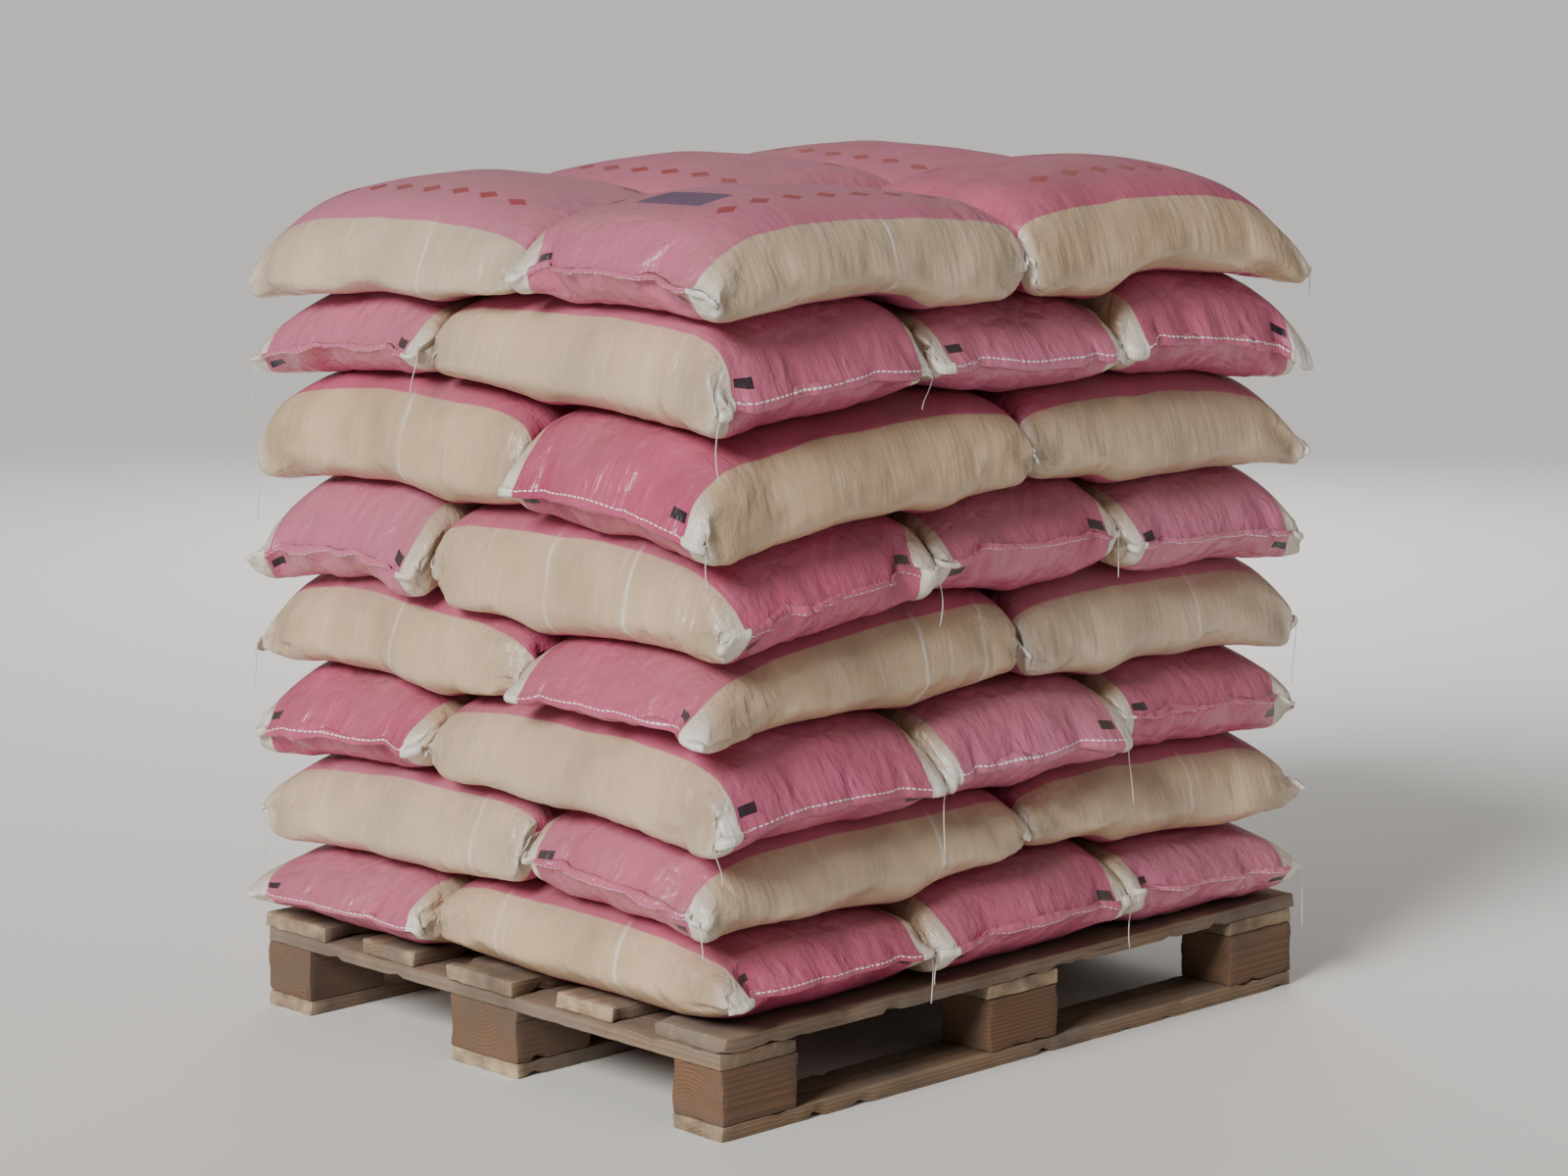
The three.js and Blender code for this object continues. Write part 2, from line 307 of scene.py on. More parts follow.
def fill_bag(bag, pressure, open_end, open_side):
    """Blows the bag up between its neighbours. open_end and open_side are the room on its free sides."""
    half_length = FILLED_LENGTH / 2
    half_width = FILLED_WIDTH / 2
    far_end = BAG_LENGTH / 2 + WALL_START
    far_side = BAG_WIDTH / 2 + WALL_START
    walls = [
        pressing_wall(2, -1, LAYER / 2 - PRESS),
        pressing_wall(2, 1, LAYER / 2 - PRESS),
        pressing_wall(0, -1, half_length, far_end),
        pressing_wall(1, -1, half_width, far_side),
        pressing_wall(0, 1, half_length + open_end, far_end),
        pressing_wall(1, 1, half_width + open_side, far_side),
    ]
    take(bag)
    bpy.ops.object.modifier_add(type="CLOTH")
    cloth = bag.modifiers["Cloth"]
    woven = cloth.settings
    woven.quality = 6
    woven.mass = 0.15
    woven.air_damping = 2
    woven.tension_stiffness = 40
    woven.compression_stiffness = 10
    woven.shear_stiffness = 10
    woven.bending_stiffness = 1
    woven.tension_damping = 10
    woven.compression_damping = 10
    woven.shear_damping = 10
    woven.use_pressure = True
    woven.uniform_pressure_force = pressure
    woven.effector_weights.gravity = 0
    cloth.collision_settings.distance_min = CLEARANCE / 2
    cloth.collision_settings.collision_quality = 3
    cloth.point_cache.frame_start = 1
    cloth.point_cache.frame_end = FRAMES
    for step in range(1, FRAMES + 1):
        bpy.context.scene.frame_set(step)
    bpy.ops.object.modifier_apply(modifier="Cloth")
    for wall in walls:
        bpy.data.objects.remove(wall)
    bpy.context.scene.frame_set(1)


# %% [markdown]
# ## The sewn ends
#
# At each end the two layers are turned over and sewn, about half way up the filled sack. The solver leaves
# the seams where the pressure happened to push them, so they are first drawn to that height. The hem then
# hangs from the seam as a flap of about a centimetre. It is extruded from the narrow row of faces that the
# seam left, after the simulation, because the solver would blow it up too, and is pushed out to lie on the
# bulging end below it. The attribute hem runs from 0 at the seam to 1 at the flap's edge.

# %% Seams at half height
AT_SEAM = 1e-5  # points nearer to the seam's line than this belong to it
END_ZONE = (0.18, 0.27)  # from the middle of the sack: where the ends begin to follow the seam


def read(items, name, width=1):
    """A property of many items as an array, with one row for each."""
    values = np.empty(len(items) * width, np.float32)
    items.foreach_get(name, values)
    return values.reshape(-1, width) if width > 1 else values


def ramp(values, start, end):
    """0 up to the start, 1 from the end on, and rising evenly between them."""
    return np.clip((values - start) / (end - start), 0, 1)


def centre_seams(bag):
    """Draws both seams to half height, and the cloth above and below them evenly after."""
    points = read(bag.data.vertices, "co", 3)
    along = read(bag.data.attributes["along"].data, "value")
    half = LAYER / 2
    for end in (1, -1):
        on_seam = np.abs(along - end * BAG_LENGTH / 2) < AT_SEAM
        height = points[on_seam & (np.abs(points[:, 1]) < FILLED_WIDTH / 3), 2].mean()
        drawn = np.interp(points[:, 2], (-half, height, half), (-half, 0, half))
        points[:, 2] += ramp(end * points[:, 0], *END_ZONE) * (drawn - points[:, 2])
    bag.data.vertices.foreach_set("co", points.ravel())


# %% Hems
HEM_STEPS = ((0.003, -0.004), (0.002, -0.009))  # outwards and down, on the open end
BACK_HEM_STEPS = ((0.001, -0.004), (0.0, -0.008))
HEM_THICKNESS = 0.0016


def select_faces(mesh, chosen):
    """Selects the chosen faces of a mesh, and nothing else, before edit mode is entered."""
    mesh.vertices.foreach_set("select", [False] * len(mesh.vertices))
    mesh.edges.foreach_set("select", [False] * len(mesh.edges))
    mesh.polygons.foreach_set("select", chosen)


def sew_hems(bag):
    """Extrudes the flaps beyond both seams."""
    mesh = bag.data
    mesh.attributes.new("hem", "FLOAT", "POINT")
    faces = [tuple(face.vertices) for face in mesh.polygons]
    body = BVHTree.FromPolygons([vertex.co.copy() for vertex in mesh.vertices], faces)
    take(bag)
    for end, steps in ((1, HEM_STEPS), (-1, BACK_HEM_STEPS)):
        along = read(mesh.attributes["along"].data, "value")
        on_seam = np.abs(along - end * BAG_LENGTH / 2) < AT_SEAM
        select_faces(mesh, [bool(on_seam[list(face.vertices)].all()) for face in mesh.polygons])
        bpy.ops.object.mode_set(mode="EDIT")
        bpy.ops.mesh.select_mode(type="FACE")
        for count, (out, down) in enumerate(steps, 1):
            bpy.ops.mesh.extrude_region_move(TRANSFORM_OT_translate={"value": (end * out, 0, down)})
            bpy.ops.object.mode_set(mode="OBJECT")
            hem = mesh.attributes["hem"].data
            for vertex in mesh.vertices:
                if vertex.select:
                    hem[vertex.index].value = count / len(steps)
            bpy.ops.object.mode_set(mode="EDIT")
        bpy.ops.object.mode_set(mode="OBJECT")
    drape_hems(mesh, body)


def drape_hems(mesh, body):
    """Pushes the flaps out to where they lie on the end of the sack, and gives them their thickness."""
    hem = read(mesh.attributes["hem"].data, "value")
    along = read(mesh.attributes["along"].data, "value")
    girth = read(mesh.attributes["girth"].data, "value")
    for vertex in mesh.vertices:
        if hem[vertex.index] == 0:
            continue
        end = math.copysign(1, along[vertex.index])
        _, y, z = vertex.co
        hit = body.ray_cast(Vector((end, y, z)), Vector((-end, 0, 0)))[0]
        on_cloth = abs(hit.x) if hit else 0
        outer = girth[vertex.index] < BAG_WIDTH / 2
        vertex.co.x = end * (max(abs(vertex.co.x), on_cloth) + HEM_THICKNESS * (2 if outer else 1))


# %% The simulated sacks
def make_sack(name, seed, pressure, open_end, open_side):
    """One filled and sewn sack, from which the sacks of the load are copied."""
    bag = flat_bag(name, seed)
    fill_bag(bag, pressure, open_end, open_side)
    centre_seams(bag)
    sew_hems(bag)
    finer = bag.modifiers.new("Finer", "SUBSURF")
    finer.levels = finer.render_levels = 1
    take(bag)
    bpy.ops.object.modifier_apply(modifier="Finer")
    bag.data.polygons.foreach_set("use_smooth", [True] * len(bag.data.polygons))
    size = np.ptp(read(bag.data.vertices, "co", 3), axis=0)
    print(name, "sack", size.round(3), "metres,", len(bag.data.polygons), "faces")
    return bag


# Room on the open end and side, in metres: the corner sacks have both, the middle one has only its end.
CORNER_SACKS = [
    make_sack("corner_sack_a", 1, 8, 0.022, 0.014),
    make_sack("corner_sack_b", 2, 9, 0.014, 0.018),
    make_sack("corner_sack_c", 3, 7, 0.028, 0.010),
    make_sack("corner_sack_d", 5, 8, 0.017, 0.016),
    make_sack("corner_sack_e", 6, 7, 0.024, 0.014),
]
MIDDLE_SACKS = [
    make_sack("middle_sack_a", 4, 8, 0.020, 0.0),
    make_sack("middle_sack_b", 7, 7, 0.024, 0.0),
]

# %% [markdown]
# ## How the sacks lie on each other
#
# A sack isn't flat on top: it is high in its middle and falls off to its sides, most of all on the outside of
# the stack where nothing holds it, and the sack above sinks into the joints. So between each two layers there
# is one wavy surface. It is worked out from the tops of the sacks below, and both layers are fitted to it:
# the lower ones up to it from below, the upper ones down to it from above. They then touch, and never cross.
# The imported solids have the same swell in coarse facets. How high each top stands in its middle, how far it
# falls and how it tilts are read off its solid by least squares, so the finished sacks follow the solids.

# %% Layers
DECK_TOP = 0.144
DECK_HALF = np.array([0.6, 0.5])
LAYER_COUNT = 8
OPEN_FALL = 0.040  # how far the top falls from the middle to an open edge
SHUT_FALL = 0.028  # and to an edge with a neighbour
FALL_POWER = 2
FIRST_LAYERS = (0.0, 0.75, 0.9)  # the share of the fall on the deck and on the two layers above it
CORNER_DROOP = 0.022  # how far each layer hangs down at the corners of the stack
BLEND = 0.026  # how softly one sack's top goes over into its neighbour's
PRESSED = (0.201, 0.101)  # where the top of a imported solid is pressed, from its middle
OVERHANG = 1.15  # how far past its own edge a sack's top still counts, as a share
COUNTED = (-0.08, 0.3)  # and from where to where its weight falls, in metres past its edge
MOST_YAW = 0.6  # degrees
MOST_PULL = (0.024, 0.014)  # how far an open end, and an open side, may be drawn back
FILLED_HALF = np.array([FILLED_LENGTH, FILLED_WIDTH]) / 2


def layer_share(layer):
    return FIRST_LAYERS[layer] if layer < len(FIRST_LAYERS) else 1


def corner_droop(points):
    reach = np.abs(points[:, :2] / DECK_HALF).clip(0, 1)
    return CORNER_DROOP * (reach**2).prod(1)


# %% Where a sack lies
class Place:
    """Where one sack lies: its cell, its own axes along and across, pointing out of the stack, how far it is
    shifted along them, how far its open end and side are drawn back, and its layer."""

    def __init__(self, node):
        self.node = node
        self.layer = int(node.split("_")[1])
        self.middle = node.endswith("middle")
        corners = read(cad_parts[node].data.vertices, "co", 3).astype(float)
        centre = (corners.min(0) + corners.max(0)) / 2
        self.cell = centre[:2].round(1)
        size = np.ptp(corners, axis=0)
        along = np.array([1.0, 0.0]) if size[0] > size[1] else np.array([0.0, 1.0])
        along *= np.sign(along @ self.cell)
        across = np.array([-along[1], along[0]])
        if across @ self.cell < 0 and not self.middle:
            across = -across
        self.axes = np.array([along, across])
        self.shift = self.axes @ (centre[:2] - self.cell)
        self.measure_top(corners[corners[:, 2] > centre[2]])
        self.dice = random.Random(zlib.crc32(node.encode()))
        self.yaw = math.radians(self.dice.uniform(-MOST_YAW, MOST_YAW))
        self.pull = np.array([self.dice.uniform(-pull, 0.0) for pull in MOST_PULL])

    def measure_top(self, corners):
        """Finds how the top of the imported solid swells, falls and tilts."""
        own = self.own(corners)
        pressed = (np.abs(own * FILLED_HALF) < PRESSED).all(1)
        corners = corners[pressed]
        own = own[pressed]
        over_layer = corners[:, 2] - DECK_TOP - self.layer * LAYER
        height = over_layer / layer_share(self.layer) + corner_droop(corners)
        terms = np.stack([np.ones(len(own)), -self.falling(own), own[:, 0], own[:, 1]], 1)
        self.crown, self.fall, *self.tilt = np.linalg.lstsq(terms, height, rcond=None)[0]

    def own(self, points):
        """Points of the stack in the sack's own axes, from -1 to 1 across it."""
        return (points[:, :2] - self.cell) @ self.axes.T / FILLED_HALF

    def falling(self, own):
        """How far the top falls from its middle, before the sack's own share of it."""
        s, t = own.T
        open_t = SHUT_FALL if self.middle else OPEN_FALL
        fall_s = np.where(s > 0, OPEN_FALL, SHUT_FALL) * np.abs(s) ** FALL_POWER
        fall_t = np.where(t > 0, open_t, SHUT_FALL) * np.abs(t) ** FALL_POWER
        return np.hypot(fall_s, fall_t)

    def top(self, points):
        """The height of the sack's upper face over its layer, and how much the sack counts there."""
        own = self.own(points)
        near = own.clip(-OVERHANG, OVERHANG)
        height = self.crown - self.fall * self.falling(near) + near @ self.tilt
        outside = ((np.abs(own) - 1) * FILLED_HALF).max(1)
        return height, np.exp(-outside.clip(*COUNTED) / BLEND)


# %% The surfaces between the layers
places = {name: Place(name) for name in sorted(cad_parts) if name.startswith("sack_")}
layers = {n: [p for p in places.values() if p.layer == n] for n in range(1, LAYER_COUNT + 1)}
for place in layers[LAYER_COUNT]:
    print(place.node, "crown, fall and tilt", np.round([place.crown, place.fall, *place.tilt], 4))


def surface(layer, points):
    """The height of the wavy surface on top of a layer, where layer 0 is the pallet's deck."""
    if layer == 0:
        return np.full(len(points), DECK_TOP)
    heights, weights = zip(*[place.top(points) for place in layers[layer]])
    heights = np.array(heights)
    weights = np.array(weights)
    height = (heights * weights).sum(0) / weights.sum(0) - corner_droop(points)
    return DECK_TOP + layer * LAYER + layer_share(layer) * height


# %% [markdown]
# ## Creases and lumps
#
# Woven film is stiff and thin. Over the bulging long sides it breaks into many short upright puckers, at the
# ends it runs into folds that start at the seam, and the goods push lumps into the faces. The puckers are
# only one or two millimetres deep, finer than the simulated cloth can show, so they are added as small moves
# along the surface, each from seeded noise that is stretched along the crease.

# %% Surface detail
PUCKER_DEPTH = 0.0014
PUCKER_WIDTH = 0.042  # from one pucker to the next, along the sack
PUCKER_HEIGHT = 0.16
END_FOLD_DEPTH = 0.0026
END_FOLD_WIDTH = 0.05  # from one fold to the next, across the end
END_FOLD_LENGTH = 0.22
LUMP_DEPTH = 0.0032
LUMP_WIDTH = 0.16
PUCKER_REACH = 0.06  # how far from the fold of the tube the puckers run out
END_FOLDS = (0.24, 0.32)  # from where to where, along the bag, the end folds set in
FOLDS_AT_SIDE = 0.5  # the share of the end folds that the long sides lose
SHUT_SHARE = 0.3  # how much of it all shows on a closed side
FACE_SHARE = 0.25  # and how much of the lumps on the pressed faces
WAVE_COUNT = 24
WAVE_SPREAD = (0.5, 1.6)  # the waves to a wavelength, from one plane wave to the next


def waves(points, seed):
    """A field of many plane waves with seeded directions and phases: smooth noise of about -1 to 1, one
    wavelength across where the points are given in wavelengths."""
    dice = np.random.default_rng(seed)
    directions = dice.normal(size=(WAVE_COUNT, points.shape[1]))
    directions /= np.linalg.norm(directions, axis=1)[:, None]
    directions *= dice.uniform(*WAVE_SPREAD, size=(WAVE_COUNT, 1)) * 2 * math.pi
    phases = dice.uniform(0, 2 * math.pi, size=WAVE_COUNT)
    return np.cos(points @ directions.T + phases).sum(1) / math.sqrt(WAVE_COUNT)


def ridges(points, seed):
    """The same kind of field folded at its middle, so that it runs into sharp creases."""
    return 0.5 - np.abs(waves(points, seed))


def creases(bag, seed):
    """How far each point moves out along its normal, in metres."""
    mesh = bag.data
    along = read(mesh.attributes["along"].data, "value")
    girth = read(mesh.attributes["girth"].data, "value")
    own = read(mesh.vertices, "co", 3)
    side = np.exp(-(((girth - BAG_WIDTH / 2) / PUCKER_REACH) ** 2))
    end = ramp(np.abs(along), *END_FOLDS) * (1 - side * FOLDS_AT_SIDE)
    on_side = side * np.where(own[:, 1] > 0, 1.0, SHUT_SHARE)
    on_end = end * np.where(own[:, 0] > 0, 1.0, SHUT_SHARE)
    up = own[:, 2] / PUCKER_HEIGHT
    upright = np.stack([along / PUCKER_WIDTH, up], 1)
    lengthwise = np.stack([along / END_FOLD_LENGTH, own[:, 1] / END_FOLD_WIDTH, up], 1)
    moves = ridges(upright, seed) * PUCKER_DEPTH * on_side
    moves += ridges(lengthwise, seed + 1) * END_FOLD_DEPTH * on_end
    lumpy = np.clip(on_side + on_end + FACE_SHARE, 0, 1)
    return moves + waves(own / LUMP_WIDTH, seed + 2) * LUMP_DEPTH * lumpy


# %% [markdown]
# ## Laying the sacks
#
# Each copy is turned so that its open end and side face out of the stack, and some are turned over, so that
# no two neighbours look alike. Neighbours in a layer press each other flat, so the closed sides end at the
# joint between them, and only the open ones stand a little out or in. Then the points are fitted between the
# two wavy surfaces. An open end is drawn out along its seam, and an open side bulges most in its lower half,
# as the goods sink. At the end, one slow drift of a few millimetres runs through the whole stack, which
# nobody ever stacks quite true.

# %% One sack in its cell
JOINT = np.array([0.299, 0.199])  # from the middle of a sack to its neighbours, along it and across it
SEEDS = 1000


def creased(place, bag, turned_over):
    """The points of a copy with creases of its own, turned over or mirrored where its place says so."""
    points = read(bag.data.vertices, "co", 3).astype(float)
    normals = read(bag.data.vertices, "normal", 3).astype(float)
    points += normals * creases(bag, place.dice.randrange(SEEDS))[:, None]
    if turned_over:
        points[:, 2] *= -1
    if place.middle and place.dice.random() < 0.5:
        points[:, 1] *= -1
    return points


def filling_cell(place, points):
    """Where points lie along and across: the closed sides pressed flat at the joint, the open ones moved."""
    flat = points[:, :2]
    towards_open = np.clip(flat / FILLED_HALF, 0, 1)
    closed = flat < 0
    if place.middle:
        towards_open[:, 1] = 0
        closed[:, 1] = True
    turned = place.yaw * flat[:, ::-1] * (-1, 1)
    pressed = np.clip(flat * (JOINT / FILLED_HALF), -JOINT, JOINT)
    return np.where(closed, pressed, flat) + (place.shift + place.pull + turned) * towards_open


# %% One sack between its neighbours
SACK_GAP = 0.0004  # between a sack and the surface that it is fitted to
FULL_HEIGHT = LAYER - 0.001  # of a simulated sack
SEAM_SHARE = (0.47, 0.61)  # how high up its layer a seam lies, from sack to sack
SIDE_SAG = 0.006
SAG_ZONE = (0.93, 1.03)  # where the open edges sag, as shares of the way from the sack's middle
WEDGE_OUT = 0.010  # how far the seam is drawn out at the open end
WEDGE_IN = 0.016  # and how far the edges above and below it are drawn in
BELLY = 0.006  # how far the lower half of an open long side bulges out past the upper one
EDGE_FROM = 0.7  # where both set in, as a share of the way from the sack's middle to its edge
DRIFT = 0.005
DRIFT_WIDTH = 0.7
DRIFT_SEEDS = (61, 62, 63)


def edge_moves(place, own, share, seam):
    """How far the open end is drawn out and the open side bulges. share is how high up a point lies."""
    ridge = np.interp(share, (0, seam, 1), (0, 1, 0))
    low = np.clip(np.sin(2 * math.pi * share), 0, 1)
    at_end, at_side = ramp(own.T, EDGE_FROM, 1) ** 2
    wedge = (WEDGE_OUT * ridge - WEDGE_IN * (1 - ridge)) * at_end
    belly = low * at_side * (0 if place.middle else BELLY)
    return np.stack([wedge, belly], 1)


def stack_drift(points):
    """A slow wander of the whole stack, which fades out at the deck."""
    fade = ramp(points[:, 2], DECK_TOP, DECK_TOP + LAYER)
    moves = np.stack([waves(points / DRIFT_WIDTH, seed) * fade for seed in DRIFT_SEEDS], 1)
    return points + moves * DRIFT


def fitted(place, points):
    """Points of a copy, fitted to its place in the stack."""
    flat = filling_cell(place, points)
    laid = np.zeros(points.shape)
    laid[:, :2] = flat @ place.axes + place.cell
    share = np.clip(points[:, 2] / FULL_HEIGHT + 0.5, 0, 1)
    seam = place.dice.uniform(*SEAM_SHARE)
    share += ramp(np.abs(flat[:, 0]), *END_ZONE) * (np.interp(share, (0, 0.5, 1), (0, seam, 1)) - share)
    floor = surface(place.layer - 1, laid) + SACK_GAP
    roof = surface(place.layer, laid) - SACK_GAP
    own = place.own(laid)
    sag = SIDE_SAG * ramp(own.max(1), *SAG_ZONE) * np.sin(math.pi * share)
    laid[:, 2] = floor + share * (roof - floor) - sag
    laid[:, :2] += edge_moves(place, own, share, seam) @ place.axes
    return stack_drift(laid)


# %% The forty sacks
def lay_sack(place, bag, turned_over):
    """A copy of a simulated sack, in its place in the stack and with its faces outwards."""
    points = fitted(place, creased(place, bag, turned_over))
    mesh = bag.data.copy()
    mesh.name = place.node + "_bag"
    mesh.vertices.foreach_set("co", points.astype(np.float32).ravel())
    mesh.update()
    outward = bmesh.new()
    outward.from_mesh(mesh)
    if outward.calc_volume(signed=True) < 0:
        bmesh.ops.reverse_faces(outward, faces=outward.faces)
        outward.to_mesh(mesh)
    outward.free()
    sack = bpy.data.objects.new(place.node + "_bag", mesh)
    sack["place"] = place.node
    bpy.context.collection.objects.link(sack)
    return sack


sacks = []
for count, place in enumerate(places.values()):
    choice = MIDDLE_SACKS if place.middle else CORNER_SACKS
    bag = choice[(count * 7 + place.layer) % len(choice)]
    sacks.append(lay_sack(place, bag, place.dice.random() < 0.5))
for bag in CORNER_SACKS + MIDDLE_SACKS:
    bpy.data.objects.remove(bag)
print(len(sacks), "sacks,", sum(len(s.data.polygons) for s in sacks) * 2, "triangles")

# %% [markdown]
# ## Woven film
#
# The sack is woven from flat polypropylene tape, with a printed film laminated over it. The film gives it a
# satin gloss that breaks up on the weave and on fine crinkles. The faces are printed pink, and the print
# stops short of the tube's folds, so the long sides and the ears at the corners are bare tape. Where the
# tape is creased sharply it turns white, as at the ears and in the narrow pleats across some sides.
# All of it follows the flat map of the bag, so the print bends and stretches with the cloth.

# %% Colours of the film
PINK = colour("c64e74")
PINK_DEEP = colour("a23257")
PINK_FADED = colour("cb7890")
BARE = colour("d4b48f")
BARE_SHADE = colour("ab9170")
# white of sharp creases, also laid along the crinkles as a painted highlight
CREASED_WHITE = colour("e9e1d6")
CRIMSON = colour("9c1428")
PURPLE = colour("45195c")
MARK = colour("1f0f20")
# grey-brown of dust, also laid on what faces up as a painted sheen on the tops
DUST_AND_SHEEN = colour("93796f")
THREAD = colour("f3f0ea")
THREAD_SHADE = colour("cfc8bd")

# %% [markdown]
# ## The print
#
# The print is a plain one: two rows of small crimson diamonds along each face, a purple block between them,
# and a dark mark beside the seam, of the kind that a cutting machine reads. Every shape is a comparison on
# the flat map, so its sizes are the real ones, in metres.

# %% Print
STRIP = 0.064  # half the width of the bare strip, from the fold of the tube
PRINT_EDGE = 0.001
FRAY = 0.003  # how ragged that edge is
DIAMOND_PITCH = 0.064
DIAMOND_HALF = (0.021, 0.013)
DIAMOND_ROW = 0.105  # from the middle of the face
DIAMOND_REACH = 0.23
BLOCK_PLACE = 0.165
BLOCK_HALF = (0.034, 0.062)
MARK_PLACE = (0.329, STRIP + 0.018)  # from the middle along the sack, and from the fold
MARK_HALF = (0.006, 0.014)


def inside(material, along, across, place, half):
    """1 inside a rectangle on the flat map."""
    long_way = add(material, "Math", {0: along, 1: place[0], 2: half[0]}, operation="COMPARE")
    cross_way = add(material, "Math", {0: across, 1: place[1], 2: half[1]}, operation="COMPARE")
    both = {0: long_way.outputs[0], 1: cross_way.outputs[0]}
    return add(material, "Math", both, operation="MULTIPLY").outputs[0]


def diamonds(material, flat):
    """1 inside the small diamonds of the two rows."""
    step = add(material, "Math", {0: flat["along"], 1: DIAMOND_PITCH / 2}, operation="PINGPONG")
    long_way = add(material, "Math", {0: step.outputs[0], 1: 1 / DIAMOND_HALF[0]}, operation="MULTIPLY")
    off_row = add(material, "Math", {0: flat["inner"], 1: DIAMOND_ROW}, operation="SUBTRACT")
    off_row = add(material, "Math", {0: off_row.outputs[0]}, operation="ABSOLUTE")
    both = {0: off_row.outputs[0], 1: 1 / DIAMOND_HALF[1], 2: long_way.outputs[0]}
    reach = add(material, "Math", both, operation="MULTIPLY_ADD")
    shape = add(material, "Math", {0: reach.outputs[0], 1: 1.0}, operation="LESS_THAN")
    row = add(material, "Math", {0: flat["from_middle"], 1: DIAMOND_REACH}, operation="LESS_THAN")
    return add(material, "Math", {0: shape.outputs[0], 1: row.outputs[0]}, operation="MULTIPLY").outputs[0]


def printed_face(material, flat, cloud):
    """The colour of the printed faces. flat holds the places on the flat map."""
    tone = add(material, "Attribute", attribute_name="tone").outputs[2]
    rows = diamonds(material, flat)
    block = inside(material, flat["along"], flat["inner"], (BLOCK_PLACE, 0), BLOCK_HALF)
    mark = inside(material, flat["from_middle"], flat["from_fold"], MARK_PLACE, MARK_HALF)
    one_side = add(material, "Math", {0: flat["round"], 1: flat["signed_inner"]}, operation="MULTIPLY")
    one_side = add(material, "Math", {0: one_side.outputs[0], 1: 0.0}, operation="GREATER_THAN")
    mark = add(material, "Math", {0: mark, 1: one_side.outputs[0]}, operation="MULTIPLY").outputs[0]
    inks = ((cloud, PINK_DEEP), (tone, PINK_FADED), (rows, CRIMSON), (block, PURPLE), (mark, MARK))
    return paint(material, PINK, *inks)


# %% [markdown]
# ## The bare tape and its creases
#
# The bare strip is cream tape that shows the goods' dust through it. Up to two narrow pleats cross it, where
# the cloth folded under its neighbour. Each sack has its own places for them, kept in the attributes pleat_a
# and pleat_b. Towards the seams the strip is gathered, and the sharp creases there have turned white.

# %% Bare tape
PLEAT_HALF = 0.006
PLEAT_BOW = 0.02  # how far a pleat bends from a straight line
PLEAT_REACH = (STRIP * 0.8, STRIP * 1.2)  # where it runs out, from the fold of the tube
NO_PLEAT = -1
EAR = (0.285, 0.335)  # from where to where the strip turns white, from the middle of the sack


def pleats(material, flat):
    """1 along the narrow pleats that cross the bare strip in a slight curve."""
    wander = add(material, "TexNoise", {"Vector": flat["map"], "Scale": 14.0, "Detail": 1.0}).outputs[0]
    bowed = add(material, "Math", {0: wander, 1: PLEAT_BOW, 2: flat["along"]}, operation="MULTIPLY_ADD")
    shares = []
    for name in ("pleat_a", "pleat_b"):
        pleat = add(material, "Attribute", attribute_name=name).outputs[2]
        off = add(material, "Math", {0: bowed.outputs[0], 1: pleat}, operation="SUBTRACT")
        off = add(material, "Math", {0: off.outputs[0]}, operation="ABSOLUTE")
        near = {0: off.outputs[0], 1: 0.0, 2: PLEAT_HALF, 3: 0.8, 4: 0.0}
        shares.append(add(material, "MapRange", near).outputs[0])
    both = add(material, "Math", {0: shares[0], 1: shares[1]}, operation="MAXIMUM").outputs[0]
    side = {0: flat["from_fold"], 1: PLEAT_REACH[0], 2: PLEAT_REACH[1], 3: 1.0, 4: 0.0}
    on_side = add(material, "MapRange", side).outputs[0]
    patchy = add(material, "MapRange", {0: wander, 1: 0.38, 2: 0.58, 3: 0.25, 4: 1.0}).outputs[0]
    shown = add(material, "Math", {0: on_side, 1: patchy}, operation="MULTIPLY").outputs[0]
    return add(material, "Math", {0: both, 1: shown}, operation="MULTIPLY").outputs[0]


def bare_tape(material, flat, cloud, upright):
    """The colour of the unprinted strip, with white streaks along the crinkles that are partly crease
    whitening and partly a painted highlight.
    """
    tone = add(material, "Attribute", attribute_name="tone").outputs[2]
    bleached = add(material, "Math", {0: tone, 1: 0.25}, operation="MULTIPLY").outputs[0]
    # white along the crinkle ridges: partly crease whitening, partly a painted highlight
    crease_white_and_highlight = add(material, "MapRange", {0: upright, 1: 0.56, 2: 0.76, 3: 0.0, 4: 0.25}).outputs[0]
    ear = {0: flat["from_middle"], 1: EAR[0], 2: EAR[1], 3: 0.0, 4: 0.85}
    gathered = add(material, "MapRange", ear).outputs[0]
    whites = [(share, CREASED_WHITE) for share in (bleached, crease_white_and_highlight, gathered)]
    return paint(material, BARE, (cloud, BARE_SHADE), *whites)


# %% [markdown]
# ## Laminated woven polypropylene
#
# Print and bare tape are joined at the ragged edge of the print. A row of white stitches runs along the hem.
# Warehouse dust lies on what faces up, partly as a painted sheen that greys the tops of the sacks, and hand
# marks darken the cloth in soft patches. The relief is laid on in steps, each on top of the last: the weave of
# the tape, upright crinkles across the sides, long folds towards the seams, the flat facets of crumpled film,
# and the raised pleats.

# %% The film's flat map
WEAVE_PITCH = 0.008  # two tapes; real ones are 2.5 mm wide, and are drawn coarser, to show in the render
CRUMPLES = ((0.045, 0.006), (0.016, 0.0016))  # the size of the facets, and how deep they are
STITCH_PITCH = 0.009
STITCH_HALF = 0.003
STITCH_ROW = (0.45, 0.055)  # where it runs on the hem, and half its width there
CRINKLE_SIZE = (0.011, 0.09)  # along the bag and round it
FOLD_SIZE = (0.07, 0.014)


